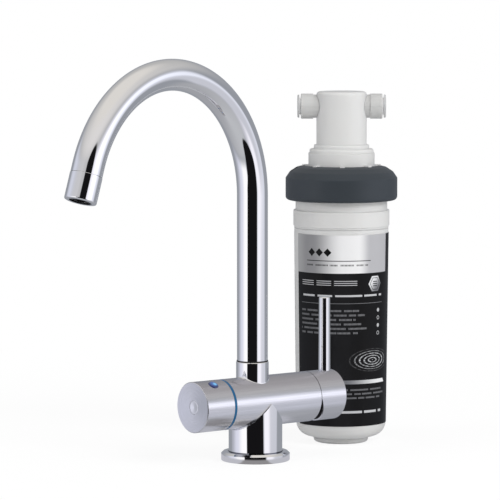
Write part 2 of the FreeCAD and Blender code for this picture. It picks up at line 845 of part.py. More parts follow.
def sweep_neck(body, name, outer, inner, foot, straight):
    """A tube of two radii along the swan neck."""
    path = new_sketch(body, "XZ_Plane", name + "_path")
    draw_neck_path(path, foot, straight)
    section = new_sketch(body, "XY_Plane", name + "_section", off=foot)
    draw_circle(section, outer)
    draw_circle(section, inner)
    pipe = body.newObject("PartDesign::AdditivePipe", name)
    pipe.Profile = section
    pipe.Spine = (path, ["Edge1", "Edge2", "Edge3"])
    return pipe


def tip_sketch_place():
    """The aerator's outlines are drawn in the tip's own frame, up being against the flow."""
    return {"across": TIP_X, "up": TIP_Z, "lean": -s.neck_lean}


def make_spout():
    """The swivelling spout: tube, foot plug with its seals, inner filtered tube."""
    tube = spout_body("spout_tube")
    sweep_neck(tube, "neck", s.tube_radius, TUBE_BORE, TUBE_FOOT, TIP_STRAIGHT)

    inner = spout_body("filtered_tube")
    sweep_neck(inner, "inner_neck", s.inner_radius, INNER_BORE, INNER_FOOT, -INSERT_SHELF - s.moving_gap)
    inner_seal = spout_body("inner_tube_seal")
    revolve(inner_seal, "inner_ring", [box_corners(s.inner_radius, s.inner_radius + s.inner_seal_depth,
                                                   INNER_SEAL_Z, INNER_SEAL_Z + s.inner_seal_height)])

    plug = spout_body("spout_spigot")
    groove = s.spigot_radius - s.seal_depth
    half_seal = s.seal_groove / 2.0
    lock_half = s.lock_width / 2.0
    lock_floor = s.spigot_radius - s.lock_depth
    lower_seal = SPIGOT_FOOT + s.lower_seal
    upper_seal = SPIGOT_FOOT + s.upper_seal
    revolve(plug, "plug", [[
        (s.inner_radius, SPIGOT_FOOT),
        (s.spigot_radius, SPIGOT_FOOT),
        (s.spigot_radius, lower_seal - half_seal),
        (groove, lower_seal - half_seal),
        (groove, lower_seal + half_seal),
        (s.spigot_radius, lower_seal + half_seal),
        (s.spigot_radius, upper_seal - half_seal),
        (groove, upper_seal - half_seal),
        (groove, upper_seal + half_seal),
        (s.spigot_radius, upper_seal + half_seal),
        (s.spigot_radius, LOCK_Z - lock_half),
        (lock_floor, LOCK_Z - lock_half),
        (lock_floor, LOCK_Z + lock_half),
        (s.spigot_radius, LOCK_Z + lock_half),
        (s.spigot_radius, TUBE_FOOT),
        (TUBE_BORE, TUBE_FOOT),
        (TUBE_BORE, TUBE_FOOT + s.plug_length),
        (s.inner_radius, TUBE_FOOT + s.plug_length),
    ]])
    mixed_circle = (s.inner_radius + groove) / 2.0
    drill(plug, "mixed_ways", "XY_Plane", (groove - s.inner_radius) / 2.0 - s.plug_web,
          TUBE_FOOT + s.plug_length, circle_points(mixed_circle, MIXED_WAYS, 180.0 / MIXED_WAYS),
          turned_round=True)

    seals = spout_body("spout_seals")
    half_ring = s.seal_depth / 2.0
    revolve(seals, "seals", [box_corners(groove, s.spigot_radius, height - half_ring, height + half_ring)
                             for height in (lower_seal, upper_seal)])

    bearing = spout_body("spout_bearing")
    revolve(bearing, "bearing", [box_corners(s.spigot_radius, s.tube_radius + s.bearing_lip,
                                             TUBE_FOOT - s.bearing_thickness, TUBE_FOOT)])

    screw = place(new_body("spout_lock_screw"), x=s.spout_x, z=LOCK_Z, turn=90, axis=(1, 0, 0))
    tip = s.spigot_radius - s.lock_depth + s.moving_gap
    shoulder = SPIGOT_BORE + s.moving_gap
    outline = [
        (0.0, -s.sleeve_radius + s.moving_gap),
        (s.lock_screw_radius, -s.sleeve_radius + s.moving_gap),
        (s.lock_screw_radius, -shoulder),
        (s.lock_width / 2.0 - s.moving_gap, -shoulder),
        (s.lock_width / 2.0 - s.moving_gap, -tip),
        (0.0, -tip),
    ]
    revolve(screw, "screw", [outline])


def make_aerator():
    """The outlet: a chromed housing, a rubber washer and the two-way insert."""
    frame = tip_sketch_place()
    start = -TIP_STRAIGHT
    joint = start - s.thin_joint
    end = -s.tip_length
    washer_top = INSERT_TOP + s.washer_height
    pocket = s.insert_radius + s.running_fit

    housing = spout_body("aerator_housing")
    revolve(housing, "housing", [[
        (s.lip_radius, end),
        (s.housing_radius, end, s.housing_edge),
        (s.housing_radius, joint, s.joint_edge),
        (TUBE_BORE - s.running_fit, joint),
        (TUBE_BORE - s.running_fit, start + s.housing_thread),
        (s.washer_bore, start + s.housing_thread),
        (s.washer_bore, washer_top),
        (pocket, washer_top),
        (pocket, INSERT_FOOT),
        (s.lip_radius, INSERT_FOOT),
    ]], **frame)

    washer = spout_body("aerator_washer")
    revolve(washer, "washer", [box_corners(s.washer_bore - s.washer_lip, s.insert_radius,
                                           INSERT_TOP, washer_top)], **frame)

    insert = spout_body("aerator_insert")
    floor = INSERT_FOOT + s.insert_recess
    nozzle_outer = s.nozzle_radius + s.nozzle_wall
    nozzle_end = INSERT_FOOT + s.nozzle_inset
    revolve(insert, "insert", [[
        (s.nozzle_radius, nozzle_end),
        (nozzle_outer, nozzle_end),
        (nozzle_outer, floor),
        (s.lip_radius - s.insert_rim, floor),
        (s.lip_radius - s.insert_rim, INSERT_FOOT),
        (s.insert_radius, INSERT_FOOT),
        (s.insert_radius, INSERT_TOP),
        (INNER_BORE + s.core_flare, INSERT_TOP),
        (INNER_BORE + s.core_flare, INSERT_SHELF),
        (INNER_BORE, INSERT_SHELF),
        (INNER_BORE, start),
        (s.nozzle_radius, start),
    ]], **frame)
    jets = new_sketch(insert, "XZ_Plane", "jet_outline", across=TIP_X, up=TIP_Z, lean=-s.neck_lean)
    draw_outline(jets, box_corners(s.jet_circle - s.jet_radius, s.jet_circle + s.jet_radius,
                                   INSERT_FOOT - OVERCUT, INSERT_TOP + OVERCUT))
    slots = insert.newObject("PartDesign::Groove", "jet_slot")
    slots.Profile = jets
    slots.ReferenceAxis = (jets, ["V_Axis"])
    slots.setExpression("Angle", s.jet_angle.text)
    slots.Midplane = True
    pattern = insert.newObject("PartDesign::PolarPattern", "jet_slots")
    pattern.Originals = [slots]
    pattern.Axis = (jets, ["V_Axis"])
    pattern.Angle = 360
    pattern.setExpression("Occurrences", s.jet_count.text)
    insert.Tip = pattern


def make_filter_valve():
    """Left end of the barrel: the blue ring and the quarter-turn ceramic valve."""
    ring = barrel_body("blue_ring")
    turned(ring, "ring_turning", [box_corners(BLUE_LEFT, s.barrel_left, s.barrel_radius - s.blue_depth,
                                              s.barrel_radius - s.blue_recess)])

    valve = barrel_body("filter_valve")
    hex_left = s.barrel_left - s.valve_hex_length
    nose_left = hex_left - s.valve_nose_length
    seal_left = VALVE_END - s.disc_seal_height
    moving_right = seal_left - s.disc_height - s.thin_joint
    moving_left = moving_right - s.disc_height
    cavity_left = moving_left - s.disc_height - s.moving_gap
    spindle_bore = s.spindle_radius + s.running_fit
    thread_right = s.barrel_left + s.valve_thread_length
    turned(valve, "valve_turning", [[
        (nose_left, spindle_bore),
        (cavity_left, spindle_bore),
        (cavity_left, s.disc_radius + s.running_fit),
        (VALVE_END, s.disc_radius + s.running_fit),
        (VALVE_END, s.valve_thread - s.gallery_depth),
        (thread_right, s.valve_thread - s.gallery_depth),
        (thread_right, s.valve_thread),
        (hex_left, s.valve_thread),
        (hex_left, s.valve_nose_radius),
        (nose_left, s.valve_nose_radius),
    ]])
    window = new_sketch(valve, "XY_Plane", "valve_windows_outline")
    draw_outline(window, box_corners(moving_left, moving_right, -s.way_radius, s.way_radius))
    extrude(valve, "valve_windows", window, through(s.valve_thread), cut=True, both_ways=True)
    nut_outline = new_sketch(valve, "YZ_Plane", "hex_outline", off=hex_left)
    draw_outline(nut_outline, hexagon(s.valve_hex))
    draw_circle(nut_outline, s.valve_thread)
    extrude(valve, "hex", nut_outline, s.valve_hex_length)

    fixed = barrel_body("fixed_disc")
    turned(fixed, "fixed_turning", [box_corners(seal_left - s.disc_height, seal_left, 0.0, s.disc_radius)])
    drill(fixed, "fixed_port", "YZ_Plane", s.disc_port, through(s.disc_height),
          [(0.0, s.disc_radius / 2.0)], off=seal_left + OVERCUT)
    seat = barrel_body("disc_seal")
    turned(seat, "seal_turning", [box_corners(seal_left, VALVE_END, s.disc_radius - s.disc_seal_width,
                                              s.disc_radius)])

    moving = barrel_body("moving_disc")
    turned(moving, "moving_turning", [box_corners(moving_left, moving_right, 0.0,
                                                  s.disc_radius - s.moving_gap)])
    drill(moving, "moving_port", "YZ_Plane", s.disc_port, through(s.disc_height),
          [(s.disc_radius / 2.0, 0.0)], off=moving_right + OVERCUT)

    spindle = barrel_body("valve_spindle")
    turned(spindle, "spindle_turning", [[
        (KNOB_FLOOR, 0.0),
        (moving_left, 0.0),
        (moving_left, s.disc_radius - s.moving_gap),
        (cavity_left + s.moving_gap, s.disc_radius - s.moving_gap),
        (cavity_left + s.moving_gap, s.spindle_radius),
        (KNOB_FLOOR, s.spindle_radius),
    ]])
    drill(spindle, "spindle_thread", "YZ_Plane", s.screw_radius, s.screw_reach + s.screw_room,
          [(0.0, 0.0)], off=KNOB_FLOOR, turned_round=True)


def make_filter_knob():
    """The left knob: a turned cup on the spindle, its screw, cap and blue marker."""
    knob = barrel_body("filter_knob", turn=s.marker_turn)
    cup_radius = s.barrel_radius - s.knob_wall
    socket = s.cap_radius + s.running_fit
    face = KNOB_LEFT + s.knob_dish
    screw_head = face + s.cap_height + s.moving_gap
    screw_seat = screw_head + s.screw_head_height
    boss_right = KNOB_FLOOR + s.boss_length
    turned(knob, "knob_turning", [[
        (screw_seat, s.screw_radius + s.running_fit),
        (screw_seat, socket),
        (face, socket),
        (KNOB_LEFT, s.barrel_radius - s.knob_edge),
        (KNOB_LEFT + s.knob_edge, s.barrel_radius),
        (KNOB_RIGHT, s.barrel_radius),
        (KNOB_RIGHT, cup_radius),
        (KNOB_FLOOR, cup_radius, s.knob_fillet),
        (KNOB_FLOOR, s.boss_radius),
        (boss_right, s.boss_radius),
        (boss_right, s.spindle_radius),
        (KNOB_FLOOR, s.spindle_radius),
        (KNOB_FLOOR, s.screw_radius + s.running_fit),
    ]])
    pocket = new_sketch(knob, "XY_Plane", "marker_circle", off=s.barrel_radius)
    draw_circle(pocket, s.marker_radius + s.running_fit, s.marker_x, 0.0)
    extrude(knob, "marker_pocket", pocket, s.marker_depth, cut=True)

    marker = place(new_body("knob_marker"), x=s.marker_x, z=s.axis_height,
                   turn=s.marker_turn, axis=(1, 0, 0))
    floor = s.barrel_radius - s.marker_depth
    brim = s.barrel_radius - s.marker_sink
    revolve(marker, "marker", [[
        (0.0, floor),
        (s.marker_radius, floor),
        (s.marker_radius, brim, s.marker_edge),
        (0.0, brim + s.marker_dome),
    ]])

    cap = barrel_body("knob_cap", turn=s.marker_turn)
    turned(cap, "cap_turning", [[
        (face + s.cap_height, 0.0),
        (face + s.cap_dish, 0.0),
        (face, s.cap_radius - s.cap_rim),
        (face, s.cap_radius, s.cap_edge),
        (face + s.cap_height, s.cap_radius),
    ]])

    screw = barrel_body("knob_screw", turn=s.marker_turn)
    turned(screw, "screw_turning", [[
        (screw_head, 0.0),
        (screw_head, s.screw_head_radius),
        (screw_seat, s.screw_head_radius),
        (screw_seat, s.screw_radius),
        (KNOB_FLOOR + s.screw_reach, s.screw_radius),
        (KNOB_FLOOR + s.screw_reach, 0.0),
    ]])


def make_mixer():
    """Right end of the barrel: cartridge, nut, dome, carrier, stem and pin."""
    cartridge = barrel_body("mixer_cartridge")
    carrier_bore = s.carrier_radius + s.running_fit
    carrier_left = MIXER_END - s.carrier_depth
    turned(cartridge, "cartridge_turning", [[
        (s.mixer_floor, 0.0),
        (carrier_left, 0.0),
        (carrier_left, carrier_bore),
        (MIXER_END, carrier_bore),
        (MIXER_END, s.mixer_radius),
        (s.mixer_floor, s.mixer_radius),
    ]])
    drill(cartridge, "cartridge_ports", "YZ_Plane", s.way_radius, s.mixer_length / 2.0,
          [(hose_places()[0][1], -s.way_radius), (hose_places()[2][1], -s.way_radius),
           (0.0, MIXED_Z - s.axis_height)],
          off=s.mixer_floor, turned_round=True)

    nut = barrel_body("cartridge_nut")
    turned(nut, "nut_turning", [box_corners(MIXER_END, NUT_END, s.nut_bore, s.nut_radius)])
    slot = new_sketch(nut, "YZ_Plane", "spanner_slots_outline", off=NUT_END)
    reach = s.nut_radius + OVERCUT
    half_key = s.spanner_slot / 2.0
    draw_outline(slot, box_corners(-half_key, half_key, s.nut_bore - OVERCUT, reach))
    draw_outline(slot, box_corners(-half_key, half_key, -reach, OVERCUT - s.nut_bore))
    extrude(nut, "spanner_slots", slot, s.spanner_depth, cut=True)

    dome = barrel_body("cartridge_dome")
    turned(dome, "dome_turning", [[
        (NUT_END, s.nut_bore),
        (NUT_END, s.dome_radius),
        (NUT_END + s.dome_length, s.dome_radius, s.dome_edge),
        (NUT_END + s.dome_length, s.nut_bore),
    ]])

    carrier = barrel_body("stem_carrier")
    carrier_right = NUT_END + s.dome_length
    turned(carrier, "carrier_turning", [box_corners(carrier_left + s.moving_gap, carrier_right, 0.0,
                                                    s.carrier_radius)])
    half_slot = s.stem_width / 2.0 + s.moving_gap
    slot = new_sketch(carrier, "YZ_Plane", "stem_slot_outline", off=carrier_right)
    draw_outline(slot, box_corners(-half_slot, half_slot, -s.slot_height / 2.0, s.slot_height / 2.0))
    extrude(carrier, "stem_slot", slot, carrier_right - PIVOT_X + s.stem_back + s.stem_room, cut=True)
    pin_hole = new_sketch(carrier, "XZ_Plane", "pin_hole_circle")
    draw_circle(pin_hole, s.pin_radius, PIVOT_X, 0.0)
    extrude(carrier, "pin_hole", pin_hole, through(s.carrier_radius), cut=True, both_ways=True)

    pin = barrel_body("carrier_pin")
    pin_circle = new_sketch(pin, "XZ_Plane", "pin_circle")
    draw_circle(pin_circle, s.pin_radius, PIVOT_X, 0.0)
    extrude(pin, "pin", pin_circle, s.pin_length, both_ways=True)

    stem = barrel_body("mixer_stem")
    square = new_sketch(stem, "YZ_Plane", "stem_outline", off=PIVOT_X - s.stem_back)
    half = s.stem_width / 2.0
    draw_outline(square, box_corners(-half, half, -half, half))
    extrude(stem, "stem", square, s.stem_back + s.stem_reach)
    hole = new_sketch(stem, "XZ_Plane", "stem_hole_circle")
    draw_circle(hole, s.pin_radius + s.running_fit, PIVOT_X, 0.0)
    extrude(stem, "stem_hole", hole, through(s.stem_width), cut=True, both_ways=True)


def make_handle():
    """The mixer's handle: a cup on the stem, its grub screw and the lever rod."""
    handle = barrel_body("mixer_handle")
    turned(handle, "handle_turning", [[
        (SOCKET_FLOOR, 0.0),
        (SOCKET_FLOOR, s.barrel_radius - s.handle_wall, s.handle_fillet),
        (HANDLE_LEFT, s.barrel_radius - s.handle_wall),
        (HANDLE_LEFT, s.barrel_radius),
        (HANDLE_RIGHT - s.handle_edge, s.barrel_radius),
        (HANDLE_RIGHT, s.barrel_radius - s.handle_edge),
        (HANDLE_RIGHT, 0.0),
    ]])
    # The lower half of the rim is cut back, so that the handle can tilt against the barrel
    below = s.barrel_radius + OVERCUT
    relief = new_sketch(handle, "XZ_Plane", "relief_outline")
    slope = s.handle_relief / s.barrel_radius
    draw_outline(relief, [
        (HANDLE_LEFT - OVERCUT, 0.0),
        (HANDLE_LEFT - OVERCUT, -below),
        (HANDLE_LEFT + slope * below, -below),
        (HANDLE_LEFT, 0.0),
    ])
    extrude(handle, "relief", relief, through(s.barrel_radius), cut=True, both_ways=True)

    half = s.stem_width / 2.0
    socket = new_sketch(handle, "YZ_Plane", "stem_socket_outline", off=SOCKET_FLOOR)
    draw_outline(socket, box_corners(-half, half, -half, half))
    extrude(handle, "stem_socket", socket, STEM_END - SOCKET_FLOOR, cut=True, turned_round=True)

    thread_foot = s.lever_seat - s.lever_thread_length
    for name, radius, low in (("lever_seat_cut", s.lever_radius + s.running_fit, s.lever_seat),
                              ("lever_thread_cut", s.lever_thread, thread_foot),
                              ("grub_hole", s.grub_radius, half)):
        hole = new_sketch(handle, "XY_Plane", name + "_circle", off=low)
        draw_circle(hole, radius, s.lever_x, 0.0)
        extrude(handle, name, hole, s.barrel_radius - low + OVERCUT, cut=True, turned_round=True)

    lever = place(new_body("lever_rod"), x=s.lever_x, z=s.axis_height)
    top = s.lever_top - s.axis_height
    top_radius = s.lever_radius - s.lever_taper
    revolve(lever, "lever", [[
        (0.0, thread_foot),
        (s.lever_thread, thread_foot),
        (s.lever_thread, s.lever_seat),
        (s.lever_radius, s.lever_seat),
        (top_radius, top - s.lever_bevel),
        (top_radius - s.lever_bevel, top),
        (0.0, top),
    ]])

    grub = place(new_body("handle_grub_screw"), x=s.lever_x, z=s.axis_height)
    grub_top = thread_foot - s.grub_gap
    revolve(grub, "grub", [box_corners(0.0, s.grub_radius, half, grub_top)])
    key = new_sketch(grub, "XY_Plane", "key_socket_outline", off=grub_top)
    draw_outline(key, hexagon(s.grub_key))
    extrude(grub, "key_socket", key, s.grub_radius, cut=True)


def shell_radius(height):
    """The shell's drafted side at a height."""
    low = s.foot_height + s.shell_corner
    share = (height - low) / (s.seam_height - low)
    return SHELL_BOTTOM + s.shell_draft * share


def ring_section(radius, height):
    """A sealing ring squeezed into its groove, flush with the spigot of a radius."""
    half = s.ring_section - s.running_fit
    return box_corners(radius - 2.0 * s.ring_section, radius, height - half, height + half)


def make_cartridge():
    """The cartridge's pressure shell and its cap with the bayonet lugs and spigot."""
    shell = filter_body("cartridge_shell")
    corner_low = s.foot_height + s.shell_corner
    wall = s.shell_wall
    lap_foot = s.seam_height - s.cap_lap
    lap_radius = s.shell_top_radius - wall
    revolve(shell, "shell", [[
        (0.0, 0.0),
        (FOOT_RADIUS, 0.0, s.foot_edge),
        (FOOT_RADIUS, s.foot_height, s.foot_fillet),
        (shell_radius(s.foot_height), s.foot_height, s.shell_corner),
        (s.shell_top_radius, s.seam_height),
        (lap_radius, s.seam_height),
        (lap_radius, lap_foot),
        (shell_radius(corner_low) - wall, s.shell_floor + s.foot_height, s.shell_corner - wall),
        (FOOT_RADIUS - wall, s.shell_floor + s.foot_height),
        (FOOT_RADIUS - wall, s.shell_floor),
        (s.pedestal_radius, s.shell_floor),
        (s.pedestal_radius, s.pedestal_height),
        (0.0, s.pedestal_height),
    ]])

    cap = filter_body("cartridge_cap")
    inside = NECK_OUTER - s.cap_wall
    ceiling = NECK_TOP - s.cap_wall
    socket = s.outlet_radius + s.running_fit
    socket_outer = socket + s.cap_wall
    section = 2.0 * s.ring_section
    lower_ring = NECK_TOP + s.lower_spigot_height / 2.0
    upper_ring = UPPER_TOP - s.lower_spigot_height / 2.0
    revolve(cap, "cap", [[
        (lap_radius - s.running_fit, lap_foot),
        (lap_radius - s.running_fit, s.seam_height),
        (s.shell_top_radius - s.seam_groove, s.seam_height),
        (s.shell_top_radius - s.seam_groove, s.seam_height + s.seam_groove),
        (s.shell_top_radius, s.seam_height + s.seam_groove),
        (s.shell_top_radius, BAND_FOOT),
        (BAND_RADIUS, BAND_FOOT, s.band_low_edge),
        (BAND_RADIUS, BAND_TOP, s.band_top_edge),
        (NECK_OUTER, BAND_TOP),
        (NECK_OUTER, NECK_TOP, s.neck_edge),
        (s.lower_spigot_radius, NECK_TOP),
        (s.lower_spigot_radius, lower_ring - s.ring_section),
        (s.lower_spigot_radius - section, lower_ring - s.ring_section),
        (s.lower_spigot_radius - section, lower_ring + s.ring_section),
        (s.lower_spigot_radius, lower_ring + s.ring_section),
        (s.lower_spigot_radius, LOWER_TOP, s.lower_spigot_edge),
        (s.upper_spigot_radius, LOWER_TOP),
        (s.upper_spigot_radius, upper_ring - s.ring_section),
        (s.upper_spigot_radius - section, upper_ring - s.ring_section),
        (s.upper_spigot_radius - section, upper_ring + s.ring_section),
        (s.upper_spigot_radius, upper_ring + s.ring_section),
        (s.upper_spigot_radius, UPPER_TOP, s.upper_spigot_edge),
        (s.spigot_way, UPPER_TOP),
        (s.spigot_way, OUTLET_TOP),
        (socket, OUTLET_TOP),
        (socket, OUTLET_TOP - s.outlet_length / 2.0),
        (socket_outer, OUTLET_TOP - s.outlet_length / 2.0),
        (socket_outer, ceiling),
        (inside, ceiling, s.neck_edge),
        (inside, lap_foot),
    ]])
    lug = revolve(cap, "lug", [box_corners(NECK_OUTER - OVERCUT, NECK_OUTER + s.lug_reach,
                                           LUG_FOOT, LUG_FOOT + s.lug_height)], angle=s.lug_angle)
    polar_copies(cap, lug, s.lug_count, "lugs")
    drill(cap, "feed_holes", "XY_Plane", s.feed_hole, LOWER_TOP - ceiling + 2.0 * OVERCUT,
          circle_points(FEED_CIRCLE, FEED_HOLES), off=ceiling - OVERCUT, turned_round=True)

    seals = filter_body("spigot_seals")
    revolve(seals, "spigot_rings", [ring_section(s.lower_spigot_radius, lower_ring),
                                    ring_section(s.upper_spigot_radius, upper_ring)])


def make_filter_block():
    """What the cartridge holds: carbon block, core tube and the two end caps."""
    block = filter_body("carbon_block")
    revolve(block, "block_sleeve", [box_corners(s.block_bore, BLOCK_OUTER, BLOCK_FOOT, BLOCK_TOP)])

    core = filter_body("core_tube")
    revolve(core, "core", [box_corners(s.block_bore - s.core_wall, s.block_bore, BLOCK_FOOT, BLOCK_TOP)])
    slots = new_sketch(core, "XZ_Plane", "core_slots_outline")
    half_width = s.core_slot_width / 2.0
    half_height = s.core_slot_height / 2.0
    for index in range(CORE_SLOTS):
        height = BLOCK_FOOT + s.block_length * ((index + 0.5) / CORE_SLOTS)
        draw_outline(slots, box_corners(-half_width, half_width,
                                        height - half_height, height + half_height))
    extrude(core, "core_slots", slots, through(s.block_bore), cut=True, both_ways=True)

    bottom = filter_body("lower_end_cap")
    revolve(bottom, "lower_cap", [[
        (0.0, s.pedestal_height),
        (BLOCK_LIP, s.pedestal_height),
        (BLOCK_LIP, BLOCK_FOOT + s.block_cap_skirt),
        (BLOCK_OUTER, BLOCK_FOOT + s.block_cap_skirt),
        (BLOCK_OUTER, BLOCK_FOOT),
        (0.0, BLOCK_FOOT),
    ]])

    top = filter_body("upper_end_cap")
    groove = s.outlet_radius - 2.0 * s.ring_section
    ring_height = OUTLET_TOP - s.block_ring_drop
    revolve(top, "upper_cap", [[
        (s.block_bore - s.core_wall, BLOCK_TOP),
        (BLOCK_OUTER, BLOCK_TOP),
        (BLOCK_OUTER, BLOCK_TOP - s.block_cap_skirt),
        (BLOCK_LIP, BLOCK_TOP - s.block_cap_skirt),
        (BLOCK_LIP, BLOCK_TOP + s.block_cap_height),
        (s.outlet_radius, BLOCK_TOP + s.block_cap_height),
        (s.outlet_radius, ring_height - s.ring_section),
        (groove, ring_height - s.ring_section),
        (groove, ring_height + s.ring_section),
        (s.outlet_radius, ring_height + s.ring_section),
        (s.outlet_radius, OUTLET_TOP),
        (s.block_bore - s.core_wall, OUTLET_TOP),
    ]])
    seal = filter_body("block_seal")
    revolve(seal, "block_ring", [ring_section(s.outlet_radius, ring_height)])


def make_label():
    """The printed label: a thin wrap that leaves a bare strip of the shell."""
    label = place(new_body("cartridge_label"), x=s.filter_x, y=s.filter_y,
                  turn=s.filter_turn + s.label_start + s.label_angle / 2.0)
    low = shell_radius(s.label_foot) + s.running_fit
    high = shell_radius(LABEL_TOP) + s.running_fit
    revolve(label, "wrap", [[
        (low, s.label_foot),
        (low + s.label_thickness, s.label_foot),
        (high + s.label_thickness, LABEL_TOP),
        (high, LABEL_TOP),
    ]], angle=s.label_angle)


def make_head():
    """The filter head: a stepped tower with two side pockets, keyed into the collar."""
    head = filter_body("filter_head")
    lower_roof = LOWER_TOP + s.socket_room
    upper_roof = UPPER_TOP + s.spigot_room
    chamber_roof = PORT_Z + s.side_way
    revolve(head, "tower", [[
        (0.0, chamber_roof),
        (0.0, HEAD_TOP),
        (s.head_radius, HEAD_TOP - s.head_crown, s.head_edge),
        (s.head_radius, STEP_TOP, s.root_round),
        (s.step_radius, STEP_TOP, s.root_round),
        (s.step_radius, FLARE_TOP, s.step_round),
        (s.flare_radius, FLARE_TOP, s.flare_round),
        (s.flare_radius, SKIRT_TOP, s.root_round),
        (s.skirt_radius, SKIRT_TOP, s.root_round),
        (s.skirt_radius, FLANGE_TOP),
        (FLANGE_RADIUS, FLANGE_TOP),
        (FLANGE_RADIUS, FLANGE_FOOT),
        (LOWER_SOCKET, FLANGE_FOOT),
        (LOWER_SOCKET, lower_roof),
        (UPPER_SOCKET, lower_roof),
        (UPPER_SOCKET, upper_roof),
        (s.chamber_radius, upper_roof),
        (s.chamber_radius, chamber_roof),
    ]])
    key = new_sketch(head, "XZ_Plane", "key_outline")
    draw_outline(key, box_corners(s.skirt_radius - OVERCUT, KEY_RADIUS,
                                  FLANGE_TOP - OVERCUT, RIM_TOP + s.key_rise))
    key_pad = extrude(head, "key", key, s.key_width, both_ways=True)
    polar_copies(head, key_pad, s.key_count, "keys")

    # Drafted pockets for the port bodies, the inlet's drop to the lower socket and the outlet's cross way
    mouth = s.port_neck_radius + s.running_fit
    for name, sign in (("inlet", -1.0), ("outlet", 1.0)):
        turned(head, name + "_pocket", [[
            (sign * PORT_SEAT, 0.0),
            (sign * PORT_SEAT, mouth - s.port_draft),
            (sign * PORT_NECK_END, mouth),
            (sign * PORT_NECK_END, 0.0),
        ]], cut=True, up=PORT_Z)
    drill(head, "outlet_way", "YZ_Plane", s.side_way, PORT_SEAT + OVERCUT, [(0.0, PORT_Z)],
          turned_round=True)
    drill(head, "inlet_way", "YZ_Plane", s.side_way, PORT_SEAT - DROP_X + OVERCUT, [(0.0, PORT_Z)],
          off=-DROP_X)
    drill(head, "inlet_drop", "XY_Plane", s.drop_way, PORT_Z - lower_roof + OVERCUT, [(-DROP_X, 0.0)],
          off=PORT_Z)


def make_collar():
    """The grey locking collar: a domed shoulder, a keyed rim and two bayonet ledges."""
    collar = filter_body("locking_collar")
    flange_room = FLANGE_RADIUS + s.moving_gap
    flange_drop = FLANGE_FOOT - s.moving_gap
    revolve(collar, "collar_shell", [[
        (COLLAR_INSIDE, COLLAR_FOOT),
        (COLLAR_RADIUS, COLLAR_FOOT, s.collar_wall - s.collar_lip),
        (COLLAR_RADIUS, SHOULDER, s.shoulder_round),
        (COLLAR_RADIUS - s.haunch_inset, SHOULDER + s.haunch_rise, s.haunch_round),
        (COLLAR_RADIUS - s.crown_inset, SHOULDER + s.crown_rise, s.crown_round),
        (RIM_RADIUS, RIM_TOP),
        (RIM_RADIUS, RIM_TOP - s.rim_thickness),
        (flange_room - s.vault_width, FLANGE_TOP),
        (flange_room, FLANGE_TOP),
        (flange_room, flange_drop),
        (COLLAR_INSIDE, flange_drop),
    ]])
    ledge = revolve(collar, "ledge", [box_corners(NECK_OUTER + s.ledge_gap,
                                                  COLLAR_INSIDE + s.collar_lip / 2.0,
                                                  COLLAR_FOOT, COLLAR_FOOT + s.ledge_thickness)],
                    angle=s.ledge_angle)
    polar_copies(collar, ledge, s.lug_count, "ledges")

    notch = new_sketch(collar, "XZ_Plane", "notch_outline")
    draw_outline(notch, box_corners(RIM_RADIUS - OVERCUT, KEY_RADIUS + s.moving_gap,
                                    FLANGE_TOP, RIM_TOP + OVERCUT))
    notch_width = s.key_width + 2.0 * s.running_fit
    notch_cut = extrude(collar, "notch", notch, notch_width, cut=True, both_ways=True)
    polar_copies(collar, notch_cut, s.key_count, "notches")

    window = new_sketch(collar, "XZ_Plane", "window_outline")
    window_outer = COLLAR_RADIUS - s.window_inset
    for sign in (-1.0, 1.0):
        draw_outline(window, box_corners(sign * (window_outer - s.window_length), sign * window_outer,
                                         SHOULDER + s.window_rise, RIM_TOP + OVERCUT))
    extrude(collar, "windows", window, s.window_width, cut=True, both_ways=True)


def make_port(name, sign):
    """A push-fit port: its body in the head, the seal and the collet that frees the tube."""
    def port_body(label):
        return place(new_body(label), x=s.filter_x, y=s.filter_y, z=PORT_Z, turn=s.filter_turn)

    port = port_body(name + "_port")
    turned(port, "port_turning", [[
        (sign * PORT_SEAT, s.side_way),
        (sign * PORT_SEAT, s.port_neck_radius - s.port_draft),
        (sign * PORT_NECK_END, s.port_neck_radius),
        (sign * PORT_NECK_END, s.port_ring_radius),
        (sign * PORT_END, s.port_ring_radius, s.port_edge),
        (sign * PORT_END, s.seal_pocket),
        (sign * POCKET_START, s.seal_pocket),
        (sign * POCKET_START, s.tube_hole),
        (sign * TUBE_STOP, s.tube_hole),
        (sign * TUBE_STOP, s.side_way),
    ]])
    seal = port_body(name + "_seal")
    seal_end = POCKET_START + s.port_seal_length
    turned(seal, "seal_turning", [box_corners(sign * POCKET_START, sign * seal_end,
                                              s.tube_hole + s.running_fit, s.seal_pocket)])
    collet = port_body(name + "_collet")
    flange_back = PORT_END + s.collet_gap
    collet_face = flange_back + s.collet_flange
    sleeve_end = seal_end + s.collet_travel + s.moving_gap
    turned(collet, "collet_turning", [[
        (sign * sleeve_end, s.tube_hole),
        (sign * collet_face, s.tube_hole, s.collet_mouth),
        (sign * collet_face, s.collet_flange_radius, s.collet_round),
        (sign * flange_back, s.collet_flange_radius),
        (sign * flange_back, s.seal_pocket - s.running_fit),
        (sign * sleeve_end, s.seal_pocket - s.running_fit),
    ]])


def check_document():
    """Stop if any object failed, if a cut removed nothing or if a sub-part is not one sound shape."""
    for item in document.Objects:
        if "Invalid" in item.State or "Error" in item.State:
            raise RuntimeError("%s failed: %s" % (item.Name, item.State))
        if item.TypeId in ("PartDesign::Pocket", "PartDesign::Groove") and item.BaseFeature:
            if item.Shape.Volume > item.BaseFeature.Shape.Volume - NEAR:
                raise RuntimeError("%s cuts nothing" % item.Name)
    for body in NODES:
        if body.Shape.isNull() or not body.Shape.isValid() or not body.Shape.Solids:
            raise RuntimeError("%s has no valid shape" % body.Label)


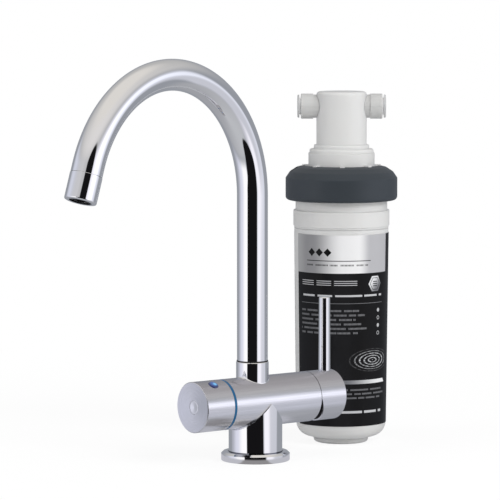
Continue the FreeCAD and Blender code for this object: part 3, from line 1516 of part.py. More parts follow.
def write_parts():
    os.makedirs("parts", exist_ok=True)
    for body in NODES:
        body.Shape.exportStep("parts/%s.step" % body.Label)
        box = body.Shape.BoundBox
        print("%-20s solids %d volume %9.1f  x %.1f %.1f  y %.1f %.1f  z %.1f %.1f" % (
            body.Label, len(body.Shape.Solids), body.Shape.Volume,
            box.XMin, box.XMax, box.YMin, box.YMax, box.ZMin, box.ZMax))


make_tap_body()
make_base()
make_spout()
make_aerator()
make_filter_valve()
make_filter_knob()
make_mixer()
make_handle()
make_cartridge()
make_filter_block()
make_label()
make_head()
make_collar()
make_port("inlet", -1.0)
make_port("outlet", 1.0)
document.recompute()
check_document()
write_parts()
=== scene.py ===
import bpy
import bmesh
import json
import math
from mathutils import Matrix, Vector


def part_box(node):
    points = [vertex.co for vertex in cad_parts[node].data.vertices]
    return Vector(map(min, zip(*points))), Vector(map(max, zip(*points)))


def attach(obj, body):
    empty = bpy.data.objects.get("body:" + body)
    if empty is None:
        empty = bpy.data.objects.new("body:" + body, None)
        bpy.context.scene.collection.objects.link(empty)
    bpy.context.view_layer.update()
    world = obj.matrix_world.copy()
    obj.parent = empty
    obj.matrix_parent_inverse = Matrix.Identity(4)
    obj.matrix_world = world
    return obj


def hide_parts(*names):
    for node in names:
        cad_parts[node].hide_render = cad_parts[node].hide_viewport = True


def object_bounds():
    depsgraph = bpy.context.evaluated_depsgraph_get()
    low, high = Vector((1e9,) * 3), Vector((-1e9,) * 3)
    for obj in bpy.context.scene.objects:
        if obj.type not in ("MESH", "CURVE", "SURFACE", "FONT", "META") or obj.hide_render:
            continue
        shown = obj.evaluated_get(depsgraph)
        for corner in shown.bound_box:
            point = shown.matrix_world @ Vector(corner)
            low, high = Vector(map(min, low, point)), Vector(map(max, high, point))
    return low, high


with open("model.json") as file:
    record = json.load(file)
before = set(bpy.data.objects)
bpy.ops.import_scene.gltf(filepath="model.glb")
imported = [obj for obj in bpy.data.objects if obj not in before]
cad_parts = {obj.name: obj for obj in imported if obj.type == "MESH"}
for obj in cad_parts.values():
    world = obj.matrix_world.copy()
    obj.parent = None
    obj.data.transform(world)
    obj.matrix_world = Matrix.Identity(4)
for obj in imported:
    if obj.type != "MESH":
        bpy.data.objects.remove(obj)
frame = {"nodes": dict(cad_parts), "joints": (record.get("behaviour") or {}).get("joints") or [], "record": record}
CAD_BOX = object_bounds()
NODES = frame["nodes"]
MOUNTS = {mount["name"]: mount for mount in frame["record"]["mounts"]}
JOINTS = {joint["name"]: joint for joint in frame["joints"]}
MM = 0.001
UPRIGHT = Vector((0.0, 0.0, 1.0))
WHITE = (1.0, 1.0, 1.0, 1.0)


def middle_of(low, high):
    """The middle of a box from two of its corners."""
    return (low + high) / 2.0


# Camera: how far the tap's barrel is turned from the picture plane, and how far the view drops
VIEW_TURN = math.radians(38.35)
VIEW_DROP = math.radians(4.9)
PICTURE_PIXELS = 500.0
FOCAL_PIXELS = 3500.0
# The picture's scale at the tap's foot, and where the middle of that foot lies from the top left corner
PIXELS_PER_METRE = 1307.7
FOOT_PIXEL = (255.46, 459.7)
SENSOR_MM = 36.0
CLIP_START = 0.1
CLIP_END = 60.0

# Studio: each lamp by its azimuth from the camera, its elevation, its width and its watts
LAMPS = {
    "lamp_right": (48.0, 30.0, 1.3, 30.0),
    "lamp_left": (-60.0, 22.0, 1.1, 10.5),
    "lamp_above": (0.0, 82.0, 1.4, 4.0),
}
LAMP_DISTANCE = 2.4
# How bright the air is for everything but the camera's view, reflections and what shows through glass
AIR_LEVEL = 0.45
FLOOR_SIZE = 60.0
FLOOR_TINT = (0.95, 0.95, 0.95, 1.0)
# The share of the floor's own shading that shows near the object, and from where to where it fades
FLOOR_SHADOW_SHARE = 0.16
SHADOW_NEAR = 0.22
SHADOW_FAR = 0.75
# How far under white the lit floor lies, which the white that the camera sees makes up for
FLOOR_SHADE_LOSS = 0.26
# The grey floor that the chrome sees round the tap's foot, and the width over which it fades
PATCH_RADIUS = 44.0 * MM
PATCH_FADE = 11.0 * MM
SURROUND_RADIUS = 9.0
SURROUND_LEVEL = 1.1

# Places on the tap and the filter, from the frame
AXIS_HEIGHT = JOINTS["mixer_turn"]["pos_m"][2]
FILTER_FOOT = Vector(MOUNTS["filter_foot"]["pos_m"])
PORT_AXIS = Vector(MOUNTS["outlet_port"]["axis"])
PORT_HEIGHT = MOUNTS["outlet_port"]["pos_m"][2]
KNOB_LOW, KNOB_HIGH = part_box("filter_knob")
HANDLE_LOW, HANDLE_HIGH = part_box("mixer_handle")
BODY_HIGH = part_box("tap_body")[1]
BODY_END = BODY_HIGH.x
COLUMN_RADIUS = BODY_HIGH.y
RING_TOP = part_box("base_ring")[1].z
NECK_X = JOINTS["spout_swivel"]["pos_m"][0]
NECK_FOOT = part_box("spout_tube")[0].z
CAD_MIDDLE = middle_of(*CAD_BOX)
MARKER_MIDDLE = middle_of(*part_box("knob_marker"))
LABEL_LOW, LABEL_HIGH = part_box("cartridge_label")
LABEL_RADIUS = (LABEL_HIGH.x - LABEL_LOW.x) / 2.0

# The barrel's surface, which stands out a little from the blue ring
RING_SUNK = 0.15 * MM
BLUE_LOW, BLUE_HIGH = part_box("blue_ring")
BARREL_RADIUS = (BLUE_HIGH.y - BLUE_LOW.y) / 2.0 + RING_SUNK

# Painted shadow: the dark line in the corner where the column stands in the base ring
FOOT_SHADOW_WIDTH = 0.5 * MM
FOOT_SHADOW_HEIGHT = 0.4 * MM

# The satin cups: how far their end face reaches back and out, and the radius and depth of their hollow
CUP_FACE_DEPTH = 1.2 * MM
CUP_FACE_RADIUS = 19.0 * MM
CUP_HOLLOW_RADIUS = 18.3 * MM
CUP_HOLLOW_DEPTH = 21.0 * MM

# The casting's open end: the bare metal's depth, and the width of the plated rim round it
BARE_DEPTH = 0.2 * MM
PLATED_RIM = 0.6 * MM

# The blue dome: its radius, its height, the share of it that is under the knob's surface, and its wall
MARKER_RADIUS = 4.1 * MM
MARKER_RISE = 1.7 * MM
MARKER_SUNK = 0.2
MARKER_DEPTH = 1.2 * MM
MARKER_SIDES = 48
MARKER_STEPS = 12

# Where a port ends and where its release ring's flange begins, from the filter's axis
PORT_END = 32.1 * MM
FLANGE_BACK = 33.3 * MM

# How far the middle of any of the filter's pieces lies from its axis at most
FILTER_REACH = 60.0 * MM

# The swan neck: its turn at rest, its centre line's sizes, and its tube's
NECK_TURN = math.radians(11.45)
NECK_RADIUS = 94.0 * MM
NECK_HEIGHT = 202.8 * MM
NECK_LEAN = math.radians(19.3)
NECK_STRAIGHT = 7.0 * MM
TUBE_RADIUS = 11.75 * MM
TUBE_BORE = 10.25 * MM
NECK_SIDES = 112
NECK_STEPS = 160


class Graph:
    """Builds a node tree from plain calls; every value may be a number or another node's output."""

    def __init__(self, tree):
        self.tree = tree
        tree.nodes.clear()

    def node(self, kind, inputs=None, **settings):
        """A node with its settings; an input goes by its socket's name or number."""
        made = self.tree.nodes.new(kind)
        for name, value in settings.items():
            setattr(made, name, value)
        for socket, value in (inputs or {}).items():
            if isinstance(value, bpy.types.NodeSocket):
                self.tree.links.new(value, made.inputs[socket])
            else:
                made.inputs[socket].default_value = value
        return made

    def math(self, operation, *values):
        return self.node("ShaderNodeMath", dict(enumerate(values)), operation=operation).outputs[0]

    def add(self, a, b):
        return self.math("ADD", a, b)

    def sub(self, a, b):
        return self.math("SUBTRACT", a, b)

    def mul(self, a, b):
        return self.math("MULTIPLY", a, b)

    def divide(self, a, b):
        return self.math("DIVIDE", a, b)

    def absolute(self, value):
        return self.math("ABSOLUTE", value)

    def length(self, a, b):
        return self.math("SQRT", self.add(self.mul(a, a), self.mul(b, b)))

    def both(self, *masks):
        result = masks[0]
        for mask in masks[1:]:
            result = self.mul(result, mask)
        return result

    def either(self, *masks):
        result = masks[0]
        for mask in masks[1:]:
            result = self.math("MAXIMUM", result, mask)
        return result

    def rise(self, value, low, high):
        """A smooth step from 0 at low to 1 at high."""
        made = self.node("ShaderNodeMapRange", {"Value": value, "From Min": low, "From Max": high},
                         interpolation_type="SMOOTHSTEP")
        return made.outputs["Result"]

    def under(self, value, limit, soft):
        """1 up to the limit, with a soft edge beyond it."""
        return self.rise(value, limit + soft, limit)

    def between(self, value, low, high, soft):
        """1 from low to high, with soft edges centred on both."""
        half = soft / 2.0
        into = self.rise(value, low - half, low + half)
        out = self.rise(value, high + half, high - half)
        return self.mul(into, out)

    def stripe(self, value, middle, half, soft):
        """1 within half of the middle value, with a soft edge centred there."""
        away = self.absolute(self.sub(value, middle))
        return self.rise(away, half + soft / 2.0, half - soft / 2.0)

    def mix(self, share, first, second):
        """A colour or a direction between two."""
        made = self.node("ShaderNodeMix", {"Factor": share, "A": first, "B": second}, data_type="RGBA")
        return made.outputs["Result"]

    def blend(self, share, first, second):
        """A number between two numbers."""
        made = self.node("ShaderNodeMix", {"Factor": share, "A": first, "B": second}, data_type="FLOAT")
        return made.outputs["Result"]

    def point(self):
        """The point on the part, in metres in its rest pose."""
        return self.node("ShaderNodeTexCoord").outputs["Object"]

    def place(self):
        """The x, y and z of that point."""
        parts = self.node("ShaderNodeSeparateXYZ", {"Vector": self.point()})
        return parts.outputs["X"], parts.outputs["Y"], parts.outputs["Z"]

    def vector(self, x, y, z):
        return self.node("ShaderNodeCombineXYZ", {"X": x, "Y": y, "Z": z}).outputs["Vector"]

    def stretch(self, vector, factors):
        made = self.node("ShaderNodeVectorMath", {0: vector, 1: factors}, operation="MULTIPLY")
        return made.outputs[0]

    def noise(self, vector, scale=1.0, detail=2.0, rough=0.5):
        made = self.node("ShaderNodeTexNoise", {"Vector": vector, "Scale": scale, "Detail": detail,
                                                "Roughness": rough})
        return made.outputs["Fac"]

    def bump(self, pattern, height, over=None):
        """The direction of a face with a relief this high, on top of another relief if there is one."""
        inputs = {"Height": pattern, "Distance": height, "Strength": 1.0}
        if over is not None:
            inputs["Normal"] = over
        return self.node("ShaderNodeBump", inputs).outputs["Normal"]

    def emission(self, tint, level):
        return self.node("ShaderNodeEmission", {"Color": tint, "Strength": level}).outputs[0]

    def mix_shader(self, share, first, second):
        return self.node("ShaderNodeMixShader", {0: share, 1: first, 2: second}).outputs[0]

    def output(self, surface):
        self.node("ShaderNodeOutputMaterial", {"Surface": surface})

    def surface(self, **inputs):
        """The Principled shader, wired to the output."""
        names = {name.replace("_", " "): value for name, value in inputs.items()}
        self.output(self.node("ShaderNodeBsdfPrincipled", names).outputs["BSDF"])


def colour(red, green, blue):
    """A colour written as screen values from 0 to 255."""
    def linear(level):
        share = level / 255.0
        return share / 12.92 if share <= 0.04045 else ((share + 0.055) / 1.055) ** 2.4
    return (linear(red), linear(green), linear(blue), 1.0)


def darkened(tint, share):
    return tuple(level * share for level in tint[:3]) + (1.0,)


def new_material(name):
    material = bpy.data.materials.new(name)
    material.use_nodes = True
    return material, Graph(material.node_tree)


def add_object(name, data):
    made = bpy.data.objects.new(name, data)
    bpy.context.scene.collection.objects.link(made)
    return made


# Camera and studio

def add_camera():
    right = Vector((math.cos(VIEW_TURN), -math.sin(VIEW_TURN), 0.0))
    level = Vector((math.sin(VIEW_TURN), math.cos(VIEW_TURN), 0.0))
    ahead = level * math.cos(VIEW_DROP) - UPRIGHT * math.sin(VIEW_DROP)
    up = level * math.sin(VIEW_DROP) + UPRIGHT * math.cos(VIEW_DROP)
    across = (FOOT_PIXEL[0] - PICTURE_PIXELS / 2.0) / PIXELS_PER_METRE
    below = (FOOT_PIXEL[1] - PICTURE_PIXELS / 2.0) / PIXELS_PER_METRE
    distance = FOCAL_PIXELS / PIXELS_PER_METRE
    data = bpy.data.cameras.new("camera")
    data.sensor_width = SENSOR_MM
    data.lens = FOCAL_PIXELS / PICTURE_PIXELS * SENSOR_MM
    data.clip_start = CLIP_START
    data.clip_end = CLIP_END
    camera = add_object("camera", data)
    turn = Matrix((right, up, -ahead)).transposed().to_4x4()
    camera.matrix_world = Matrix.Translation(up * below - right * across - ahead * distance) @ turn
    bpy.context.scene.camera = camera


def from_camera(azimuth, elevation):
    """A direction in the world, from degrees right of the camera's side and above the floor."""
    turn = math.radians(azimuth) - math.pi / 2.0 - VIEW_TURN
    lift = math.radians(elevation)
    return Vector((math.cos(turn) * math.cos(lift), math.sin(turn) * math.cos(lift), math.sin(lift)))


def add_air():
    """The world: white where it is looked at, and an even soft light for everything else."""
    world = bpy.data.worlds.new("studio_air")
    bpy.context.scene.world = world
    world.use_nodes = True
    g = Graph(world.node_tree)
    path = g.node("ShaderNodeLightPath").outputs
    seen = g.either(path["Is Camera Ray"], path["Is Glossy Ray"], path["Is Transmission Ray"])
    air = g.node("ShaderNodeBackground", {"Color": WHITE, "Strength": g.blend(seen, AIR_LEVEL, 1.0)})
    g.node("ShaderNodeOutputWorld", {"Surface": air.outputs["Background"]})


def add_lamps():
    for name, (azimuth, elevation, width, watts) in LAMPS.items():
        data = bpy.data.lights.new(name, "AREA")
        data.shape = "DISK"
        data.size = width
        data.energy = watts
        lamp = add_object(name, data)
        away = from_camera(azimuth, elevation)
        lamp.location = CAD_MIDDLE + away * LAMP_DISTANCE
        lamp.rotation_mode = "QUATERNION"
        lamp.rotation_quaternion = away.to_track_quat("Z", "Y")
        lamp.visible_glossy = False


# The grey floor round the tap's foot, and the cosines of the turn from the camera's side where it changes
PATCH_SIDES = colour(186, 186, 193)
PATCH_FRONT = colour(140, 138, 140)
PATCH_TURN = (0.82, 0.90)


def floor_material():
    """White as the backdrop, with a share of plain diffuse white that keeps the object's shadow.

    The chrome sees only the grey that lies round the tap's foot, and the surround beyond it.
    """
    material, g = new_material("studio_floor")
    x, y, _ = g.place()
    path = g.node("ShaderNodeLightPath").outputs
    away = g.length(g.sub(x, CAD_MIDDLE.x), g.sub(y, CAD_MIDDLE.y))
    near = g.mul(g.rise(away, SHADOW_FAR, SHADOW_NEAR), FLOOR_SHADOW_SHARE)
    plain = g.node("ShaderNodeBsdfDiffuse", {"Color": FLOOR_TINT}).outputs[0]
    bright = g.emission(WHITE, g.add(1.0, g.mul(near, FLOOR_SHADE_LOSS)))
    looked_at = g.mix_shader(g.mul(path["Is Camera Ray"], g.sub(1.0, near)), plain, bright)

    # The grey is darker on the camera's side of the foot
    from_foot = g.length(x, y)
    facing = from_camera(0.0, 0.0)
    ahead = g.divide(g.add(g.mul(x, facing.x), g.mul(y, facing.y)), from_foot)
    patch = g.emission(g.mix(g.rise(ahead, *PATCH_TURN), PATCH_SIDES, PATCH_FRONT), SURROUND_LEVEL)
    clear = g.node("ShaderNodeBsdfTransparent").outputs[0]
    reflected = g.mix_shader(g.under(from_foot, PATCH_RADIUS, PATCH_FADE), clear, patch)
    g.output(g.mix_shader(path["Is Glossy Ray"], looked_at, reflected))
    return material


def add_floor():
    half = FLOOR_SIZE / 2.0
    mesh = bpy.data.meshes.new("studio_floor")
    corners = [(-half, -half, 0.0), (half, -half, 0.0), (half, half, 0.0), (-half, half, 0.0)]
    mesh.from_pydata(corners, [], [(0, 1, 2, 3)])
    mesh.materials.append(floor_material())
    floor = add_object("studio_floor", mesh)


# What the chrome reflects, in degrees right of the camera and degrees up; each box has the two
# directions' low end, high end and soft edge
RIGHT_BOX = ((38.0, 104.0, 9.0), (-36.0, 21.0, 15.0))
RIGHT_STRIP = ((56.0, 100.0, 14.0), (0.0, 15.0, 7.0))
STRIP_GLOW = 0.4
LEFT_BOX = ((-122.0, -28.0, 12.0), (-32.0, 27.0, 13.0))
# The card's middle, its half width and half height, and its soft edge as shares of these
CARD_MIDDLE = (-1.0, -7.0)
CARD_HALF = (36.0, 40.0)
CARD_EDGE = (1.05, 0.96)
# The height of its waist, how far it is shifted away from there, and how it leans above the lean's foot
CARD_WAIST = -5.0
CARD_SHIFT = 8.0
CARD_SHIFT_RISE = (2.0, 18.0)
CARD_LEAN = 0.4
CARD_LEAN_FOOT = 10.0
# From and to which direction a level changes: heights for walls, ceiling and what lies below
CEILING_RISE = (12.0, 44.0)
CEILING_TOP_RISE = (45.0, 70.0)
BELOW_FALL = (-26.0, -44.0)
# The right box, and where its darker lower part begins on its near and on its far side
RIGHT_FADE = (58.0, 100.0)
RIGHT_LOW_FADE = (56.0, 76.0)
RIGHT_LOW_TURN = (56.0, 72.0)
RIGHT_NEAR_FALL = (-20.0, -32.0)
RIGHT_FAR_FALL = (0.0, -10.0)
# The left box, towards its middle, its far end and its top
LEFT_FADE = (-54.0, -84.0)
LEFT_FAR_FADE = (-84.0, -118.0)
LEFT_TOP_RISE = (6.0, 24.0)
LEFT_TOP_SHARE = 0.7

WALL = colour(147, 150, 157)
CEILING_BACK = colour(180, 179, 178)
CEILING_FRONT = colour(217, 214, 213)
CEILING_TOP = colour(217, 213, 208)
BELOW_BACK = colour(157, 158, 163)
BELOW_FRONT = colour(185, 186, 190)
RIGHT_NEAR = colour(245, 243, 251)
RIGHT_FAR = colour(214, 216, 227)
RIGHT_LOW_NEAR = colour(206, 205, 214)
RIGHT_LOW_FAR = colour(196, 197, 206)
LEFT_NEAR = colour(255, 253, 255)
LEFT_MIDDLE = colour(216, 217, 231)
LEFT_FAR = colour(170, 172, 182)
LEFT_TOP = colour(212, 215, 228)
BLACK_CARD = colour(20, 19, 21)


def in_box(g, azimuth, elevation, box):
    across, upwards = box
    return g.both(g.between(azimuth, *across), g.between(elevation, *upwards))


def surround_material():
    """The walls, boxes, ceiling and card that the chrome reflects."""
    material, g = new_material("studio_surround")
    x, y, z = g.place()
    degree = math.degrees(1.0)
    azimuth = g.mul(g.math("ARCTAN2", y, x), degree)
    elevation = g.mul(g.math("ARCSINE", g.divide(z, SURROUND_RADIUS)), degree)
    front = g.add(0.5, g.mul(g.math("COSINE", g.math("RADIANS", azimuth)), 0.5))

    # Walls, ceiling and what lies below the table's edge
    ceiling = g.mix(front, CEILING_BACK, CEILING_FRONT)
    ceiling = g.mix(g.rise(elevation, *CEILING_TOP_RISE), ceiling, CEILING_TOP)
    shade = g.mix(g.rise(elevation, *CEILING_RISE), WALL, ceiling)
    shade = g.mix(g.rise(elevation, *BELOW_FALL), shade, g.mix(front, BELOW_BACK, BELOW_FRONT))

    # The soft box on the right, with a darker lower part that reaches higher on its far side
    glow = g.mix(g.rise(azimuth, *RIGHT_FADE), RIGHT_NEAR, RIGHT_FAR)
    low_glow = g.mix(g.rise(azimuth, *RIGHT_LOW_FADE), RIGHT_LOW_NEAR, RIGHT_LOW_FAR)
    low = g.blend(g.rise(azimuth, *RIGHT_LOW_TURN), g.rise(elevation, *RIGHT_NEAR_FALL),
                  g.rise(elevation, *RIGHT_FAR_FALL))
    shade = g.mix(in_box(g, azimuth, elevation, RIGHT_BOX), shade, g.mix(low, glow, low_glow))

    # The soft box on the left, which fades towards its far end and its top
    glow = g.mix(g.rise(azimuth, *LEFT_FADE), LEFT_NEAR, LEFT_MIDDLE)
    glow = g.mix(g.rise(azimuth, *LEFT_FAR_FADE), glow, LEFT_FAR)
    glow = g.mix(g.mul(g.rise(elevation, *LEFT_TOP_RISE), LEFT_TOP_SHARE), glow, LEFT_TOP)
    shade = g.mix(in_box(g, azimuth, elevation, LEFT_BOX), shade, glow)

    # The black card that stands on the camera's side
    from_waist = g.absolute(g.sub(elevation, CARD_WAIST))
    shift = g.mul(g.rise(from_waist, *CARD_SHIFT_RISE), CARD_SHIFT)
    lean = g.mul(g.math("MAXIMUM", g.sub(elevation, CARD_LEAN_FOOT), 0.0), CARD_LEAN)
    middle = g.add(g.add(shift, lean), CARD_MIDDLE[0])
    apart = g.length(g.divide(g.sub(azimuth, middle), CARD_HALF[0]),
                     g.divide(g.sub(elevation, CARD_MIDDLE[1]), CARD_HALF[1]))
    shade = g.mix(g.rise(apart, *CARD_EDGE), shade, BLACK_CARD)

    strip = in_box(g, azimuth, elevation, RIGHT_STRIP)
    g.output(g.emission(shade, g.add(SURROUND_LEVEL, g.mul(strip, STRIP_GLOW))))
    return material


def add_surround():
    """A wide ball that only reflections see; its own X axis points at the camera."""
    mesh = bpy.data.meshes.new("studio_surround")
    ball = bmesh.new()
    bmesh.ops.create_uvsphere(ball, u_segments=96, v_segments=48, radius=SURROUND_RADIUS)
    bmesh.ops.reverse_faces(ball, faces=ball.faces)
    ball.to_mesh(mesh)
    ball.free()
    mesh.materials.append(surround_material())
    surround = add_object("studio_surround", mesh)
    surround.rotation_euler = (0.0, 0.0, -math.pi / 2.0 - VIEW_TURN)
    surround.visible_camera = False
    surround.visible_diffuse = False
    surround.visible_shadow = False
    surround.visible_volume_scatter = False


# Metals

CHROME_TINT = (0.90, 0.905, 0.915, 1.0)
# Painted shadow in the corner where the column stands in its ring
PAINTED_FOOT_SHADOW = (0.16, 0.165, 0.19, 1.0)
UNPLATED = colour(30, 27, 30)
SATIN_DARK = colour(222, 223, 227)
SATIN_LIGHT = colour(236, 237, 241)
SATIN_TOP_SHADE = colour(176, 174, 182)
SATIN_ROUGHNESS = 0.15
SATIN_HEIGHT = 0.004 * MM
# How far from the barrel's radius a face still counts as its surface
SATIN_SKIN = 0.10 * MM
# Painted shade on the satin's upper side: between which heights over the axis it darkens, and by what share
TOP_RISE = (6.0 * MM, 15.0 * MM)
TOP_SHARE = 0.75
POLISHED_ROUGHNESS = 0.03
SMUDGED_ROUGHNESS = 0.06
# The direction of the barrel, as a colour socket takes it
LENGTHWISE = (1.0, 0.0, 0.0, 0.0)
# How finely a pattern changes along x, y and z
BARREL_GRAIN = (28.0, 2600.0, 2600.0)
TURNING_MARKS = (900.0, 900.0, 2400.0)
# Rings on a turned face: how close they lie, and how much they change on the way round
FACE_RINGS = 3400.0
FACE_SWEEP = 1.2


def polish_wear(g, point):
    """The roughness of a polished face, with faint smudges that dull it here and there."""
    smudge = g.noise(point, scale=90.0, detail=3.0)
    return g.blend(g.rise(smudge, 0.45, 0.75), POLISHED_ROUGHNESS, SMUDGED_ROUGHNESS)


def polished_chrome():
    material, g = new_material("polished_chrome")
    g.surface(Base_Color=CHROME_TINT, Metallic=1.0, Roughness=polish_wear(g, g.point()))
    return material


def foot_shadow(g, x, y, z):
    """1 where a painted shadow darkens the corner in which the column stands in its ring."""
    soft = 0.5 * MM
    beside = g.under(g.length(x, y), COLUMN_RADIUS + FOOT_SHADOW_WIDTH, soft)
    return g.both(beside, g.under(z, RING_TOP + FOOT_SHADOW_HEIGHT, soft))


def ring_chrome():
    """Polished, with a painted shadow line in the corner at the column's foot."""
    material, g = new_material("ring_chrome")
    tint = g.mix(foot_shadow(g, *g.place()), CHROME_TINT, PAINTED_FOOT_SHADOW)
    g.surface(Base_Color=tint, Metallic=1.0, Roughness=polish_wear(g, g.point()))
    return material


def lengthwise_grain(g, point):
    """Fine lines along the barrel, as fine abrasive leaves them."""
    return g.noise(g.stretch(point, BARREL_GRAIN), detail=3.0, rough=0.6)


def brushed_finish(g, point, grain, clean, up):
    """Colour, roughness and relief of the satin chrome; clean is 1 where the face is polished instead.

    The upper side is darker, a painted shade, up being the height over the barrel's axis.
    """
    patchy = g.noise(point, scale=55.0)
    tone = g.mix(g.rise(grain, 0.3, 0.7), SATIN_DARK, SATIN_LIGHT)
    # Painted shade: the satin darkens towards its upper side
    tone = g.mix(g.mul(g.rise(up, *TOP_RISE), TOP_SHARE), tone, SATIN_TOP_SHADE)
    rough = g.add(g.add(g.mul(grain, 0.07), g.mul(patchy, 0.04)), SATIN_ROUGHNESS)
    return (g.mix(clean, tone, CHROME_TINT),
            g.blend(clean, rough, polish_wear(g, point)),
            g.bump(g.mul(grain, g.sub(1.0, clean)), SATIN_HEIGHT))


def plated_surface(g, bare, tint, rough, relief, **more):
    """Plating with this colour and roughness, and dark dull metal where bare is 1."""
    g.surface(Base_Color=g.mix(bare, tint, UNPLATED), Metallic=g.blend(bare, 1.0, 0.2),
              Roughness=g.blend(bare, rough, 0.6), Normal=relief, **more)


def body_chrome():
    """The casting: satin on the barrel, polished on column and sleeve, and bare in its open end."""
    material, g = new_material("body_chrome")
    point = g.point()
    x, y, z = g.place()
    up = g.sub(z, AXIS_HEIGHT)
    radius = g.length(y, up)
    polished = g.sub(1.0, g.stripe(radius, BARREL_RADIUS, SATIN_SKIN, 0.04 * MM))
    tint, rough, relief = brushed_finish(g, point, lengthwise_grain(g, point), polished, up)
    in_end = g.both(g.rise(x, BODY_END - 2.0 * BARE_DEPTH, BODY_END - BARE_DEPTH),
                    g.under(radius, BARREL_RADIUS - PLATED_RIM, 0.3 * MM))
    # Painted shadow at the column's foot, where it stands in the ring
    tint = g.mix(foot_shadow(g, x, y, z), tint, PAINTED_FOOT_SHADOW)
    plated_surface(g, in_end, tint, rough, relief)
    return material


def turned_chrome(name, end_x, inwards, mouth_x):
    """A satin cup: lines along its side, rings on its end face at end_x, and dark bare metal inside."""
    material, g = new_material(name)
    point = g.point()
    x, y, z = g.place()
    up = g.sub(z, AXIS_HEIGHT)
    radius = g.length(y, up)
    depth = g.mul(g.sub(x, end_x), inwards)
    soft = 0.2 * MM
    on_end = g.both(g.under(depth, CUP_FACE_DEPTH, soft), g.under(radius, CUP_FACE_RADIUS, soft))
    sweep = g.mul(g.math("ARCTAN2", y, up), FACE_SWEEP)
    rings = g.noise(g.vector(g.mul(radius, FACE_RINGS), sweep, 0.0), detail=3.0, rough=0.6)
    grain = g.blend(on_end, lengthwise_grain(g, point), rings)
    off_end = g.sub(1.0, on_end)
    # The painted shade of the upper side stays off the end face
    tint, rough, relief = brushed_finish(g, point, grain, 0.0, g.mul(up, off_end))
    rough = g.blend(on_end, g.mul(rough, 1.15), g.add(rough, 0.10))
    from_mouth = g.absolute(g.sub(x, mouth_x))
    inside = g.both(g.under(radius, CUP_HOLLOW_RADIUS, 0.3 * MM),
                    g.under(from_mouth, CUP_HOLLOW_DEPTH, 1.0 * MM), off_end)
    turning = g.node("ShaderNodeTangent", direction_type="RADIAL", axis="X").outputs[0]
    plated_surface(g, inside, tint, rough, relief, Anisotropic=0.7,
                   Tangent=g.mix(on_end, LENGTHWISE, turning))
    return material


def turned_metal(name, tint, rough):
    """Bare brass or steel with its turning marks, which run round its axis."""
    material, g = new_material(name)
    point = g.point()
    marks = g.noise(g.stretch(point, TURNING_MARKS))
    tarnish = g.noise(point, scale=120.0, detail=3.0)
    g.surface(Base_Color=g.mix(g.rise(tarnish, 0.4, 0.8), tint, darkened(tint, 0.72)), Metallic=1.0,
              Roughness=g.add(rough, g.mul(marks, 0.12)), Normal=g.bump(marks, 0.01 * MM))
    return material


# Plastics, rubber and ceramics

# How deep red, green and blue light go into a cloudy plastic, and the depth that these are shares of
CLOUD_DEPTHS = (1.0, 0.96, 0.92)
CLOUD_SCALE = 3.0 * MM
# The parting line: half its width, its soft edge, its shade against the plastic's, and its height
SEAM_HALF = 0.14 * MM
SEAM_SOFT = 0.16 * MM
SEAM_SHADE = 0.80
SEAM_HEIGHT = 0.08 * MM
# Painted light in the release ring's gap, against the shade that falls there
GAP_PAINTED_LIGHT = (0.97, 0.97, 0.97, 1.0)
# The mould's grain: how coarse it is, and its height where speck is 1
GRAIN_SIZE = 0.35 * MM
GRAIN_HEIGHT = 0.004 * MM


def filter_place(g):
    """Metres along the ports from the filter's axis, metres towards its back, and the height."""
    x, y, z = g.place()
    east = g.sub(x, FILTER_FOOT.x)
    north = g.sub(y, FILTER_FOOT.y)
    right = g.add(g.mul(east, PORT_AXIS.x), g.mul(north, PORT_AXIS.y))
    back = g.sub(g.mul(north, PORT_AXIS.x), g.mul(east, PORT_AXIS.y))
    return right, back, z


def in_collet_gap(g):
    """1 on the faces of the narrow gap between a port's end and its release ring."""
    along, _, _ = filter_place(g)
    return g.between(g.absolute(along), PORT_END - 0.05 * MM, FLANGE_BACK + 0.1 * MM, 0.06 * MM)


def moulded(name, tint, rough, speck=0.5, shift=0.04, gloss=0.5, cloudy=0.0, ported=False, seamed=False):
    """Moulded plastic with a faint cloud in its colour and the mould's fine grain.

    A ported piece has painted light in the release ring's gap, white against the shade there, and a
    seamed one has a parting line at the ports' height.
    """
    material, g = new_material(name)
    point = g.point()
    grain = g.noise(point, scale=1.0 / GRAIN_SIZE)
    shade = g.mix(g.noise(point, scale=35.0), tint, darkened(tint, 1.0 - shift))
    relief = g.bump(grain, speck * GRAIN_HEIGHT)
    if ported:
        # Painted light: the gap's faces are whitened against their shade
        shade = g.mix(in_collet_gap(g), shade, GAP_PAINTED_LIGHT)
    if seamed:
        _, _, z = g.place()
        line = g.stripe(z, PORT_HEIGHT, SEAM_HALF, SEAM_SOFT)
        shade = g.mix(g.mul(line, 0.7), shade, darkened(tint, SEAM_SHADE))
        relief = g.bump(line, SEAM_HEIGHT, over=relief)
    g.surface(Base_Color=shade, Roughness=g.add(rough, g.mul(grain, 0.08)), Normal=relief,
              Specular_IOR_Level=gloss, Subsurface_Weight=cloudy, Subsurface_Radius=CLOUD_DEPTHS,
              Subsurface_Scale=CLOUD_SCALE)
    return material


# Where the painted highlight lies on the dome, along the knob and upwards from its middle
MARKER_HIGHLIGHT_PLACE = (0.5 * MM, -0.9 * MM)
MARKER_RIM_SHADE = colour(10, 34, 96)
MARKER_BLUE = colour(24, 92, 176)
MARKER_PAINTED_HIGHLIGHT = colour(120, 205, 255)


